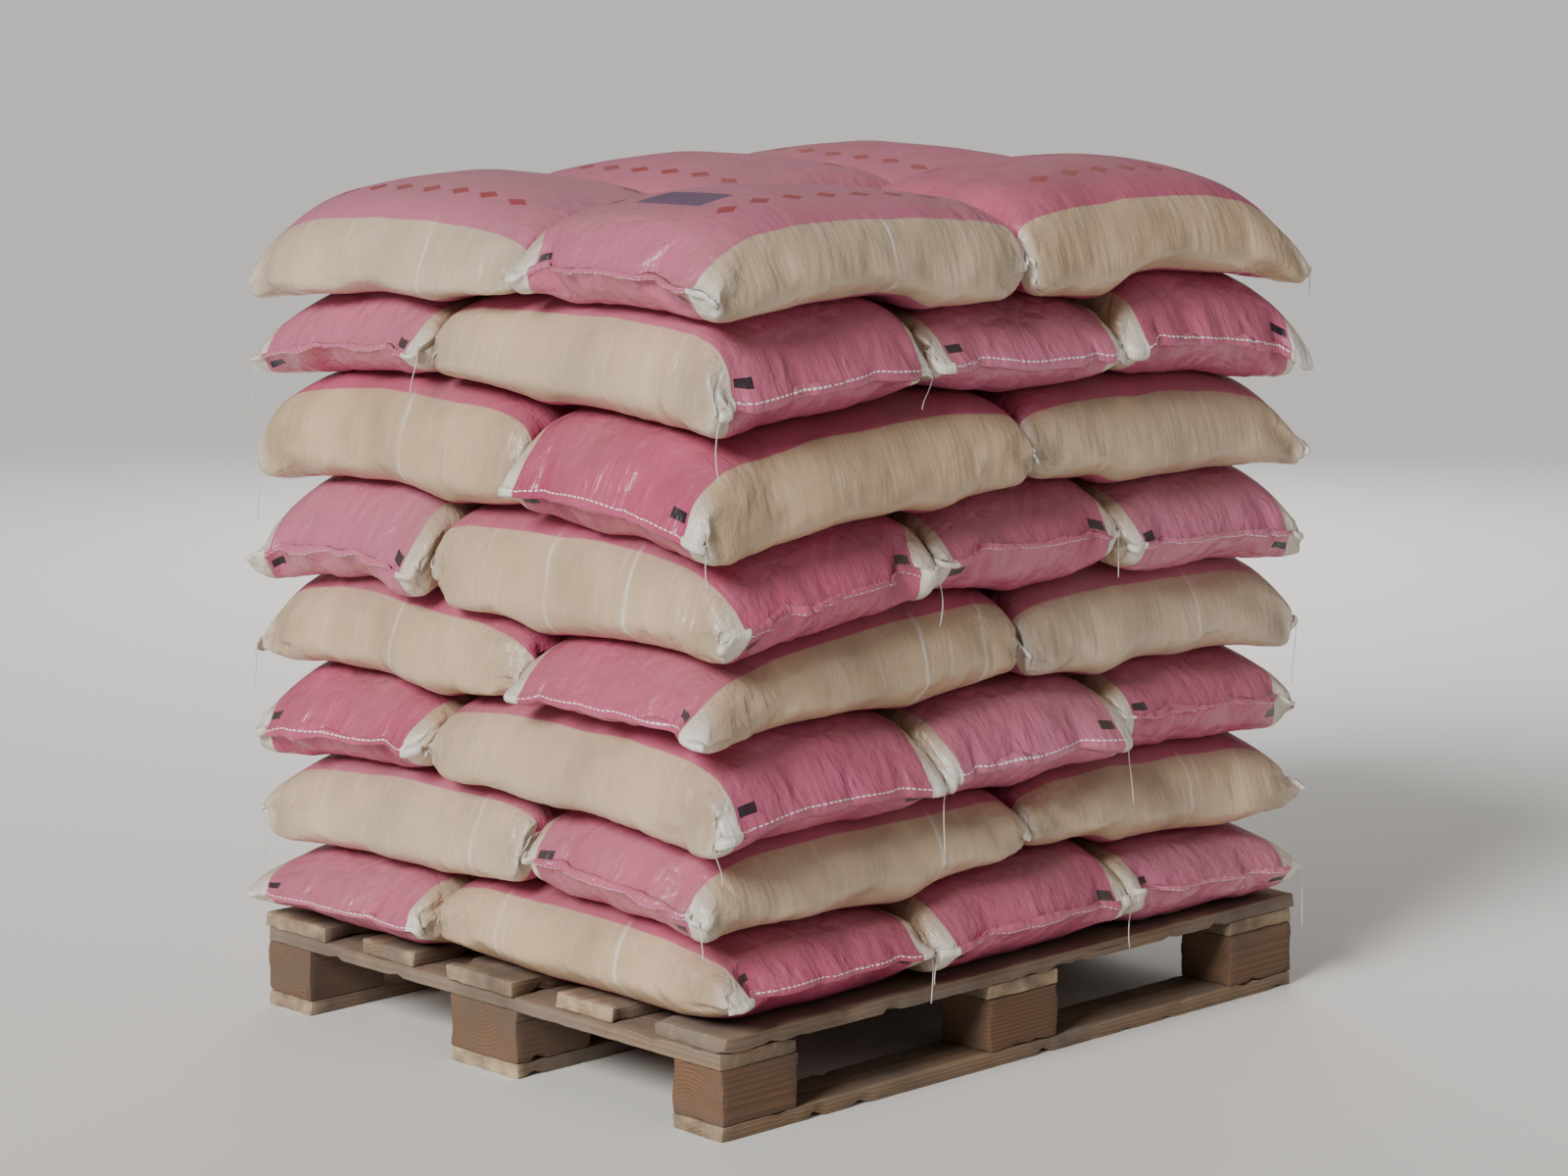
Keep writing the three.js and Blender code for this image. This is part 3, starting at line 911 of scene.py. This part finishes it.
def flat_places(material):
    """Where a point lies on the flat bag, in metres."""
    place = add(material, "UVMap", uv_map="sack").outputs[0]
    axes = add(material, "SeparateXYZ", {0: place})
    girth = add(material, "Math", {0: axes.outputs[1]}, operation="ABSOLUTE").outputs[0]
    signed_inner = add(material, "Math", {0: BAG_WIDTH / 2, 1: girth}, operation="SUBTRACT").outputs[0]
    from_fold = add(material, "Math", {0: signed_inner}, operation="ABSOLUTE").outputs[0]
    inner = add(material, "Math", {0: BAG_WIDTH / 2, 1: from_fold}, operation="SUBTRACT").outputs[0]
    from_middle = add(material, "Math", {0: axes.outputs[0]}, operation="ABSOLUTE").outputs[0]
    return {
        "map": place,
        "along": axes.outputs[0],
        "round": axes.outputs[1],
        "from_middle": from_middle,
        "signed_inner": signed_inner,
        "from_fold": from_fold,
        "inner": inner,
    }


# %% The film's stitches and relief
def stitches(material, flat):
    """1 on the white thread of the chain stitch."""
    hem = add(material, "Attribute", attribute_name="hem").outputs[2]
    row = add(material, "Math", {0: hem, 1: STITCH_ROW[0], 2: STITCH_ROW[1]}, operation="COMPARE")
    step = add(material, "Math", {0: flat["round"], 1: STITCH_PITCH / 2}, operation="PINGPONG")
    dash = add(material, "Math", {0: step.outputs[0], 1: STITCH_HALF}, operation="LESS_THAN")
    return add(material, "Math", {0: row.outputs[0], 1: dash.outputs[0]}, operation="MULTIPLY").outputs[0]


def crumple(material, place, size):
    """Flat facets between sharp bends, as stiff film crumples. size is that of one facet, in metres."""
    wander = add(material, "TexNoise", {"Vector": place, "Scale": 0.4 / size, "Detail": 2.0})
    shifted = {0: wander.outputs[1], 1: (size, size, 0), 2: place}
    moved = add(material, "VectorMath", shifted, operation="MULTIPLY_ADD").outputs[0]
    facets = {"Vector": moved, "Scale": 1 / size}
    return add(material, "TexVoronoi", facets, feature="DISTANCE_TO_EDGE").outputs[0]


def film_relief(material, flat, upright, lengthwise, pleated):
    """The normal of the film: weave, crinkles, folds and crumpled facets."""
    drawn = add(material, "Mapping", {0: flat["map"], 3: (1 / WEAVE_PITCH, 1 / WEAVE_PITCH, 1)}).outputs[0]
    tapes = add(material, "TexChecker", {"Vector": drawn, "Scale": 2.0})
    weave = add(material, "Bump", {"Strength": 0.12, "Distance": 0.0003, "Height": tapes.outputs[1]})
    at_side = add(material, "MapRange", {0: flat["from_fold"], 1: STRIP, 2: STRIP * 2, 3: 1.0, 4: 0.15})
    ribs = add(material, "Math", {0: upright, 1: at_side.outputs[0]}, operation="MULTIPLY").outputs[0]
    at_end = add(material, "MapRange", {0: flat["from_middle"], 1: 0.2, 2: 0.33, 3: 0.1, 4: 1.0})
    folds = add(material, "Math", {0: lengthwise, 1: at_end.outputs[0]}, operation="MULTIPLY").outputs[0]
    loose = add(material, "MapRange", {0: flat["from_middle"], 1: 0.16, 2: 0.3, 3: 0.35, 4: 1.0}).outputs[0]
    steps = [(0.5, 0.004, ribs), (0.6, 0.006, folds)]
    for size, depth in CRUMPLES:
        facets = {0: crumple(material, flat["map"], size), 1: loose}
        steps.append((1.0, depth, add(material, "Math", facets, operation="MULTIPLY").outputs[0]))
    steps.append((0.7, 0.002, pleated))
    normal = weave.outputs[0]
    for strength, distance, height in steps:
        raised = {"Strength": strength, "Distance": distance, "Height": height, "Normal": normal}
        normal = add(material, "Bump", raised).outputs[0]
    return normal


# %% The film
def woven_film():
    """Laminated woven polypropylene: satin, a little uneven, printed on its faces, bare on its sides."""
    material, shader = new_material("laminated woven polypropylene")
    flat = flat_places(material)
    cloud = add(material, "TexNoise", {"Vector": flat["map"], "Scale": 7.0, "Detail": 6.0}).outputs[0]
    cloud = add(material, "MapRange", {0: cloud, 1: 0.35, 2: 0.65, 3: 0.0, 4: 1.0}).outputs[0]
    upright = streaky_noise(material, flat["map"], *CRINKLE_SIZE, 3.0)
    lengthwise = streaky_noise(material, flat["map"], *FOLD_SIZE, 3.0)
    frayed = add(material, "Math", {0: lengthwise, 1: FRAY, 2: flat["from_fold"]}, operation="MULTIPLY_ADD")
    edge = {0: frayed.outputs[0], 1: STRIP, 2: STRIP + PRINT_EDGE, 3: 1.0, 4: 0.0}
    bare = add(material, "MapRange", edge).outputs[0]
    pleated = pleats(material, flat)
    up = add(material, "SeparateXYZ", {0: add(material, "NewGeometry").outputs[1]}).outputs[2]
    place = add(material, "TexCoord").outputs[3]
    patches = add(material, "TexNoise", {"Vector": place, "Scale": 5.0, "Detail": 5.0}).outputs[0]
    # dust on what faces up, partly a painted sheen that greys the tops of the sacks
    upward_dust_and_sheen = add(material, "MapRange", {0: up, 1: 0.3, 2: 1.0, 3: 0.0, 4: 0.7}).outputs[0]
    dust_and_sheen = add(material, "Math", {0: upward_dust_and_sheen, 1: patches}, operation="MULTIPLY").outputs[0]
    handled = add(material, "MapRange", {0: patches, 1: 0.55, 2: 0.75, 3: 0.0, 4: 0.18}).outputs[0]
    body = paint(
        material,
        printed_face(material, flat, cloud),
        (bare, bare_tape(material, flat, cloud, upright)),
        (pleated, CREASED_WHITE),
        (stitches(material, flat), THREAD),
        # dust, partly a painted sheen on what faces up
        (dust_and_sheen, DUST_AND_SHEEN),
        (handled, DUST_AND_SHEEN),
    )
    link(material, body, shader.inputs["Base Color"])
    gloss = add(material, "MapRange", {0: cloud, 1: 0.0, 2: 1.0, 3: 0.28, 4: 0.45}).outputs[0]
    gloss = add(material, "Math", {0: dust_and_sheen, 1: 0.5, 2: gloss}, operation="MULTIPLY_ADD").outputs[0]
    link(material, gloss, shader.inputs["Roughness"])
    relief = film_relief(material, flat, upright, lengthwise, pleated)
    link(material, relief, shader.inputs["Normal"])
    link(material, relief, shader.inputs["Coat Normal"])
    shader.inputs["Coat Weight"].default_value = 0.3
    shader.inputs["Coat Roughness"].default_value = 0.2
    return material


WOVEN_FILM = woven_film()
print(WOVEN_FILM.name, "of", len(WOVEN_FILM.node_tree.nodes), "nodes")

# %% [markdown]
# ## Thread ends
#
# Where the seam runs out at the ear of a sack, the machine leaves a few centimetres of its chain of thread.
# It hangs down over the sacks below. One straight end is modelled, by extruding a small circle downwards, and
# every copy is bent in its own way and laid on the cloth that it hangs in front of.

# %% Sewing thread
FLUFFS = 900.0  # spots to a metre


def sewing_thread():
    """Spun polyester sewing thread: white, matt and a little fluffy."""
    material, shader = new_material("spun polyester thread")
    place = add(material, "TexCoord").outputs[3]
    fluff = add(material, "TexNoise", {"Vector": place, "Scale": FLUFFS, "Detail": 2.0}).outputs[0]
    link(material, paint(material, THREAD, (fluff, THREAD_SHADE)), shader.inputs["Base Color"])
    shader.inputs["Roughness"].default_value = 0.8
    raised = add(material, "Bump", {"Strength": 0.4, "Distance": 0.0004, "Height": fluff})
    link(material, raised.outputs[0], shader.inputs["Normal"])
    return material


SEWING_THREAD = sewing_thread()

# %% One thread end
THREAD_RADIUS = 0.0008
THREAD_STEPS = 9
THREAD_LENGTHS = (0.03, 0.11)
THREAD_CURL = 0.012
THREAD_TURN = 3.0  # radians that its curl turns over its length
THREAD_OFF = 0.0015  # how far it keeps off the cloth
THREAD_COUNTS = (0, 0, 1, 1, 2)  # to a sack, each as likely
RAY_ROOM = 0.2  # from how far outside the cloth is looked for
HEM_EDGE = 0.9  # from here on the attribute hem counts as the flap's edge


def straight_thread():
    """One thread end of length 1, hanging from the origin."""
    bpy.ops.object.select_all(action="DESELECT")
    bpy.ops.mesh.primitive_circle_add(vertices=5, radius=THREAD_RADIUS, fill_type="NGON")
    thread = active()
    bpy.ops.object.mode_set(mode="EDIT")
    for _ in range(THREAD_STEPS):
        bpy.ops.mesh.extrude_region_move(TRANSFORM_OT_translate={"value": (0, 0, -1 / THREAD_STEPS)})
    bpy.ops.mesh.select_all(action="SELECT")
    bpy.ops.mesh.normals_make_consistent(inside=False)
    bpy.ops.object.mode_set(mode="OBJECT")
    bpy.ops.object.shade_smooth()
    return thread


STRAIGHT_THREAD = straight_thread()
print("thread end of", len(STRAIGHT_THREAD.data.polygons), "faces")

# %% Hanging the thread ends
all_points = np.concatenate([read(sack.data.vertices, "co", 3) for sack in sacks])
all_faces = []
for count, sack in enumerate(sacks):
    corners = read(sack.data.polygons, "vertices", 4).astype(int) + count * len(sack.data.vertices)
    all_faces += corners.tolist()
ALL_CLOTH = BVHTree.FromPolygons(all_points.tolist(), all_faces)


def hang_thread(start, outwards, sideways, dice):
    """A bent copy of the straight thread, lying on the cloth below its start."""
    mesh = STRAIGHT_THREAD.data.copy()
    length = dice.uniform(*THREAD_LENGTHS)
    curl = dice.uniform(-1, 1) * THREAD_CURL
    phase = dice.uniform(0, THREAD_TURN)
    for vertex in mesh.vertices:
        x, y, drop = vertex.co
        bend = curl * (math.sin(phase - drop * THREAD_TURN) - math.sin(phase))
        place = start + sideways * bend + Vector((0, 0, drop * length))
        hit = ALL_CLOTH.ray_cast(place + outwards * RAY_ROOM, -outwards)[0]
        if hit:
            place += outwards * max(0, (hit - place) @ outwards + THREAD_OFF)
        vertex.co = place + Vector((x, y, 0))
    thread = bpy.data.objects.new("thread_end", mesh)
    bpy.context.collection.objects.link(thread)
    return thread


def thread_ends(sack, place, dice):
    """Joins up to two thread ends to the open end of a sack."""
    mesh = sack.data
    hem = read(mesh.attributes["hem"].data, "value")
    along = read(mesh.attributes["along"].data, "value")
    points = read(mesh.vertices, "co", 3)
    edge = points[(hem > HEM_EDGE) & (along > 0)]
    across = edge[:, :2] @ place.axes[1]
    outwards, sideways = [Vector((*axis, 0)) for axis in place.axes]
    corners = [edge[across.argmin()], edge[across.argmax()]]
    dice.shuffle(corners)
    corners = corners[: dice.choice(THREAD_COUNTS)]
    threads = [hang_thread(Vector(corner), outwards, sideways, dice) for corner in corners]
    take(sack)
    for thread in threads:
        thread.data.materials.clear()
        thread.data.materials.append(SEWING_THREAD)
        thread.select_set(True)
    bpy.ops.object.join()


# %% Dressed sacks
MOST_TONE = 0.8  # how far a sack may be faded
PLEAT_PLACES = 0.24  # how far from the middle of the sack a pleat may lie


def constant(mesh, name, value):
    """Keeps one number for a whole piece as an attribute of its points."""
    attribute = mesh.attributes.new(name, "FLOAT", "POINT")
    attribute.data.foreach_set("value", [value] * len(mesh.vertices))


for sack in sacks:
    sack.data.materials.clear()
    sack.data.materials.append(WOVEN_FILM)
    node = sack["place"]
    dice = random.Random(zlib.crc32(("looks " + node).encode()))
    thread_ends(sack, places[node], dice)
    constant(sack.data, "tone", dice.uniform(0.0, MOST_TONE))
    for name, chances in (("pleat_a", (0, 1, 1)), ("pleat_b", (0, 0, 1))):
        drawn = [dice.uniform(-PLEAT_PLACES, PLEAT_PLACES) if chance else NO_PLEAT for chance in chances]
        constant(sack.data, name, dice.choice(drawn))
    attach(sack, "root")
    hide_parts(node)
bpy.data.objects.remove(STRAIGHT_THREAD)
hung = sum(len(sack.data.materials) > 1 for sack in sacks)
print(len(sacks), "sacks dressed,", hung, "of them with thread ends")

# %% [markdown]
# ## The pallet's timber
#
# The pallet is nailed from rough sawn softwood. Its boards have slightly rounded, chipped edges, and ends
# that the saw left a little out of square. Each board starts as a grid of its own size that is given its
# thickness, so that it has enough points to wear, and each block starts as a cube cut into small squares.
# Both get a bevel. Then the points move inwards only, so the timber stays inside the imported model's solids.
# The attribute grain keeps each point's place on its own board, because the tree's rings run on through the
# wood, and the attribute worn says where knocks have bared it: at the ends, and less along the edges.

# %% Timber shapes
BEVEL = 0.0018
BOARD_STEP = 0.018
BLOCK_CUTS = 9


def own_axes(node):
    """The middle of a box-shaped node, its size, and its three axes, the first along the grain."""
    corners = read(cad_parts[node].data.vertices, "co", 3).astype(float)
    corners = np.unique(corners.round(5), axis=0)
    axes = np.eye(3)
    if not node.startswith("block"):
        flat = corners - corners.mean(0)
        axes = np.linalg.eigh(flat.T @ flat)[1].T[::-1].copy()
        axes[2] = np.cross(axes[0], axes[1])
    own = corners @ axes.T
    centre = (own.min(0) + own.max(0)) / 2 @ axes
    return centre, np.ptp(own, axis=0), axes


def timber_start(name, size, is_block):
    """A closed shape of the right size at the origin, cut finely enough to wear."""
    bpy.ops.object.select_all(action="DESELECT")
    if is_block:
        bpy.ops.mesh.primitive_cube_add(size=1)
    else:
        steps = [max(2, round(length / BOARD_STEP)) for length in size[:2]]
        bpy.ops.mesh.primitive_grid_add(x_subdivisions=steps[0], y_subdivisions=steps[1], size=1)
    piece = active()
    piece.name = name
    piece.scale = size if is_block else (size[0], size[1], 1)
    bpy.ops.object.transform_apply(location=False, rotation=False, scale=True)
    rounded = piece.modifiers.new("Rounded", "BEVEL")
    rounded.width = BEVEL
    rounded.segments = 2
    rounded.limit_method = "ANGLE"
    if is_block:
        bpy.ops.object.mode_set(mode="EDIT")
        bpy.ops.mesh.select_all(action="SELECT")
        bpy.ops.mesh.subdivide(number_cuts=BLOCK_CUTS)
        bpy.ops.object.mode_set(mode="OBJECT")
    else:
        thick = piece.modifiers.new("Thick", "SOLIDIFY")
        thick.thickness = size[2]
        thick.offset = 0
        bpy.ops.object.modifier_apply(modifier="Thick")
    bpy.ops.object.modifier_apply(modifier="Rounded")
    return piece


# %% Wear
EDGE_ZONE = 0.004
CHIP_DEPTH = 0.006
CHIP_WIDTH = 0.035
CHIPS_FROM = 0.7  # only where the waves are higher than this is an edge chipped
END_DEPTH = 0.004
END_WIDTH = 0.05
END_LEVEL = 0.8  # how far up the waves are moved, so that most of an end is cut back
FACE_DEPTH = 0.0005
FACE_WIDTH = 0.02
EDGE_BARED = 0.55  # how far the edges are worn, where the ends are 1
EDGE_WEAR = 0.014  # how far in from an edge the pale wood reaches
END_WEAR = 0.06  # and how far in from a board's end
WEAR_SHARE = (0.5, 1.0)  # how much of that a piece has, from piece to piece


def knocked(points, size, is_block):
    """How far knocks have bared the wood: 1 at a board's ends, less along the edges, 0 inside."""
    inward = np.array(size) / 2 - np.abs(points)
    from_edge = np.sort(inward, axis=1)[:, 1]
    at_edge = EDGE_BARED * (1 - from_edge / EDGE_WEAR)
    at_end = 0 if is_block else 1 - inward[:, 0] / END_WEAR
    return np.maximum(at_edge, at_end).clip(0, 1)


def wear(points, size, seed):
    """Chips the long edges, and leaves the ends out of square. Points only move inwards."""
    inward = np.array(size) / 2 - np.abs(points)
    sign = np.sign(points)
    on_edge = (inward[:, 1] < EDGE_ZONE) & (inward[:, 2] < EDGE_ZONE)
    chipped = np.clip(waves(points / CHIP_WIDTH, seed) - CHIPS_FROM, 0, 1) * CHIP_DEPTH * on_edge
    on_end = inward[:, 0] < EDGE_ZONE
    slant = np.clip(waves(points[:, 1:] / END_WIDTH, seed + 1) + END_LEVEL, 0, 2) * END_DEPTH / 2 * on_end
    rough = (np.abs(waves(points / FACE_WIDTH, seed + 2)) * FACE_DEPTH)[:, None] * (inward < EDGE_ZONE)
    moved = points - sign * rough
    moved[:, 0] -= sign[:, 0] * slant
    moved[:, 1:] -= sign[:, 1:] * chipped[:, None]
    return moved


# %% Placing the timber
PITH_ALONG = 1.0  # how far the grain's pattern is shifted along the board
PITH_ASIDE = 0.06  # how far the pith lies to a side of the board's middle
PITH_OFF = (0.04, 0.09)  # how far it lies above or below
SMOOTH_ANGLE = math.radians(35)
FIRST_SEED = 200


def timber(node, seed):
    """A worn board or block in the place of a node."""
    centre, size, axes = own_axes(node)
    is_block = node.startswith("block")
    piece = timber_start(node + "_timber", size, is_block)
    mesh = piece.data
    points = read(mesh.vertices, "co", 3).astype(float)
    dice = np.random.default_rng(seed)
    pith = np.array([
        dice.uniform(-PITH_ALONG, PITH_ALONG),
        dice.uniform(-PITH_ASIDE, PITH_ASIDE),
        dice.choice((-1, 1)) * dice.uniform(*PITH_OFF),
    ])
    grain = mesh.attributes.new("grain", "FLOAT_VECTOR", "POINT")
    grain.data.foreach_set("vector", (points + pith).astype(np.float32).ravel())
    constant(mesh, "tone", dice.uniform(0, 1))
    bared = dice.uniform(*WEAR_SHARE) * knocked(points, size, is_block)
    worn = mesh.attributes.new("worn", "FLOAT", "POINT")
    worn.data.foreach_set("value", bared.astype(np.float32))
    laid = wear(points, size, seed) @ axes + centre
    mesh.vertices.foreach_set("co", laid.astype(np.float32).ravel())
    mesh.update()
    if np.linalg.det(axes) < 0:
        mesh.flip_normals()
    take(piece)
    bpy.ops.object.shade_smooth_by_angle(angle=SMOOTH_ANGLE)
    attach(piece, "root")
    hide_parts(node)
    return piece


timber_nodes = sorted(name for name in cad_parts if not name.startswith("sack_"))
timbers = {node: timber(node, FIRST_SEED + count) for count, node in enumerate(timber_nodes)}
print(len(timbers), "timbers,", sum(len(t.data.polygons) for t in timbers.values()), "faces")

# %% [markdown]
# ## Sawn softwood
#
# The boards are pine, sawn and never planed, and grey where they have weathered. The rings are cylinders
# round the pith of the tree, which lies outside each board at a place of its own, so the grain shows as long
# flames on the faces and as arcs on the ends, all from one pattern. Fine fibres, knots, dark cracks, the
# marks of the saw blade and dirt from the floor lie over it. The blocks are darker and browner.

# %% Wood
RING_PITCH = 0.006
WAVE_UNIT = 0.314  # the wave texture's length at scale 1
RING_STRETCH = 0.07  # how much more slowly the rings bend along the grain
SAW_PITCH = 0.005
KNOT_ROOM = (0.34, 0.09)  # along and across the grain, like the sizes below
CRACK_SIZE = (0.16, 0.004)
FIBRE_SIZE = (0.05, 0.0016)
GREY_SIZE = (0.3, 0.05)
BARED_SIZE = (0.09, 0.03)
KNOT_BROWN = colour("4f3423")
CRACK_BROWN = colour("2e241d")
DIRT_BROWN = colour("5d5045")
BARED_WOOD = colour("d8bd96")


def ringed(material, place):
    """0 in the pale wood of spring, rising to 1 in the dark edge of each ring."""
    bent = add(material, "Mapping", {0: place, 3: (RING_STRETCH, 1, 1)}).outputs[0]
    wave = {"Vector": bent, "Scale": WAVE_UNIT / RING_PITCH, "Distortion": 3.0, "Detail": 3.0}
    wave["Detail Scale"] = 0.6
    kind = {"wave_type": "RINGS", "rings_direction": "X", "wave_profile": "SAW"}
    return add(material, "TexWave", wave, **kind).outputs[1]


def knots(material, place):
    """1 at the heart of a knot, falling to 0 round it."""
    scale = (1 / KNOT_ROOM[0], 1 / KNOT_ROOM[1], 1 / KNOT_ROOM[1])
    drawn = add(material, "Mapping", {0: place, 3: scale}).outputs[0]
    cells = add(material, "TexVoronoi", {"Vector": drawn, "Scale": 1.0, "Randomness": 1.0})
    return add(material, "MapRange", {0: cells.outputs[0], 1: 0.05, 2: 0.19, 3: 1.0, 4: 0.0}).outputs[0]


def wood_relief(material, place, fibres, cracks):
    """The normal of the wood: saw marks across the grain, raised fibres and open cracks."""
    wave = {"Vector": place, "Scale": WAVE_UNIT / SAW_PITCH, "Distortion": 1.0, "Detail Scale": 0.3}
    saw = add(material, "TexWave", wave, wave_type="BANDS", bands_direction="X").outputs[1]
    sawn = add(material, "Bump", {"Strength": 0.25, "Distance": 0.0006, "Height": saw}).outputs[0]
    raised = {"Strength": 0.6, "Distance": 0.0015, "Height": fibres, "Normal": sawn}
    ridged = add(material, "Bump", raised).outputs[0]
    split = {"Strength": 0.8, "Distance": 0.002, "Height": cracks, "Normal": ridged}
    return add(material, "Bump", split, invert=True).outputs[0]


# %% Two woods
def sawn_wood(name, early, late, grey, grey_share):
    """Rough sawn softwood: matt, ringed, cracked along the grain and greyed by weather."""
    material, shader = new_material(name)
    place = add(material, "Attribute", attribute_name="grain").outputs[1]
    tone = add(material, "Attribute", attribute_name="tone").outputs[2]
    worn = add(material, "Attribute", attribute_name="worn").outputs[2]
    fibres = streaky_noise(material, place, *FIBRE_SIZE, 4.0)
    dark_fibres = add(material, "MapRange", {0: fibres, 1: 0.35, 2: 0.7, 3: 0.0, 4: 0.45}).outputs[0]
    weather = streaky_noise(material, place, *GREY_SIZE, 5.0)
    weather = add(material, "MapRange", {0: weather, 1: 0.3, 2: 0.65, 3: 0.1, 4: grey_share}).outputs[0]
    sums = {0: tone, 1: 0.25, 2: weather}
    weather = add(material, "Math", sums, operation="MULTIPLY_ADD", use_clamp=True).outputs[0]
    patchy = streaky_noise(material, place, *BARED_SIZE, 4.0)
    bared = add(material, "Math", {0: patchy, 1: 1.6, 2: worn}, operation="MULTIPLY_ADD").outputs[0]
    bared = add(material, "MapRange", {0: bared, 1: 1.45, 2: 2.1, 3: 0.0, 4: 0.8}).outputs[0]
    cracks = streaky_noise(material, place, *CRACK_SIZE, 2.0)
    cracks = add(material, "MapRange", {0: cracks, 1: 0.70, 2: 0.76, 3: 0.0, 4: 0.85}).outputs[0]
    on_piece = add(material, "TexCoord").outputs[3]
    dirt = add(material, "TexNoise", {"Vector": on_piece, "Scale": 9.0, "Detail": 7.0}).outputs[0]
    dirt = add(material, "MapRange", {0: dirt, 1: 0.45, 2: 0.72, 3: 0.0, 4: 0.7}).outputs[0]
    wood = paint(
        material,
        early,
        (ringed(material, place), late),
        (dark_fibres, late),
        (knots(material, place), KNOT_BROWN),
        (weather, grey),
        (bared, BARED_WOOD),
        (cracks, CRACK_BROWN),
        (dirt, DIRT_BROWN),
    )
    link(material, wood, shader.inputs["Base Color"])
    shader.inputs["Roughness"].default_value = 0.86
    link(material, wood_relief(material, place, fibres, cracks), shader.inputs["Normal"])
    return material


DECK_SHADES = [colour(code) for code in ("aa8966", "73553b", "81766a")]  # early wood, late wood and grey
BLOCK_SHADES = [colour(code) for code in ("916746", "5d3d27", "6b5b4c")]
DECK_PINE = sawn_wood("rough sawn pine, weathered", *DECK_SHADES, 0.8)
BLOCK_PINE = sawn_wood("rough sawn pine, brown", *BLOCK_SHADES, 0.45)
for node, piece in timbers.items():
    is_block = node.startswith("block")
    piece.data.materials.append(BLOCK_PINE if is_block else DECK_PINE)
print(DECK_PINE.name, "and", BLOCK_PINE.name)

# %% [markdown]
# ## Floor and light
#
# A plain pale floor, and soft light from above and to the left. It is a sun lamp with a wide disc, so that it
# falls off nowhere and the floor stays even. The long side of the load is turned away from it, and gets a
# little light from a second lamp, and the back gets its light from a third. That one is hidden from gloss,
# because the film on top of the load would mirror it towards the camera.

# %% Floor
bpy.ops.object.select_all(action="DESELECT")
bpy.ops.mesh.primitive_plane_add(size=90)
floor = active()
floor.name = "studio_floor"
floor_material, floor_shader = new_material("matt floor paint")
floor_shader.inputs["Base Color"].default_value = colour("e6e3dd")
floor_shader.inputs["Roughness"].default_value = 0.8
floor.data.materials.append(floor_material)
print(floor.name, "in", floor_material.name)


# %% Lamps
def lamp_at(name, kind, place, energy):
    """A lamp that shines on the load. The energy is in W/m2 for a sun, and in W for an area lamp."""
    bpy.ops.object.light_add(type=kind, location=place)
    lamp = active()
    lamp.name = name
    lamp.rotation_euler = (load_centre - Vector(place)).to_track_quat("-Z", "Y").to_euler()
    lamp.data.energy = energy
    return lamp


key = lamp_at("key", "SUN", (-3.9, -0.6, 3.3), 3.8)
key.data.angle = math.radians(22)
fill = lamp_at("fill", "AREA", (2.4, -3.8, 2.0), 6)
fill.data.size = 1.6
back = lamp_at("back", "AREA", (3.4, 3.2, 2.6), 120)
back.data.size = 3
back.visible_glossy = False

# %% Surroundings
world = bpy.data.worlds.new("studio")
world.use_nodes = True
background = world.node_tree.nodes["Background"]
background.inputs[0].default_value = colour("e8e8ea")
background.inputs[1].default_value = 0.22
bpy.context.scene.world = world
print("lit by", key.name, fill.name, "and", back.name)

# %% Sizes
print("cad", [round(v, 3) for v in (*cad_low, *cad_high)])
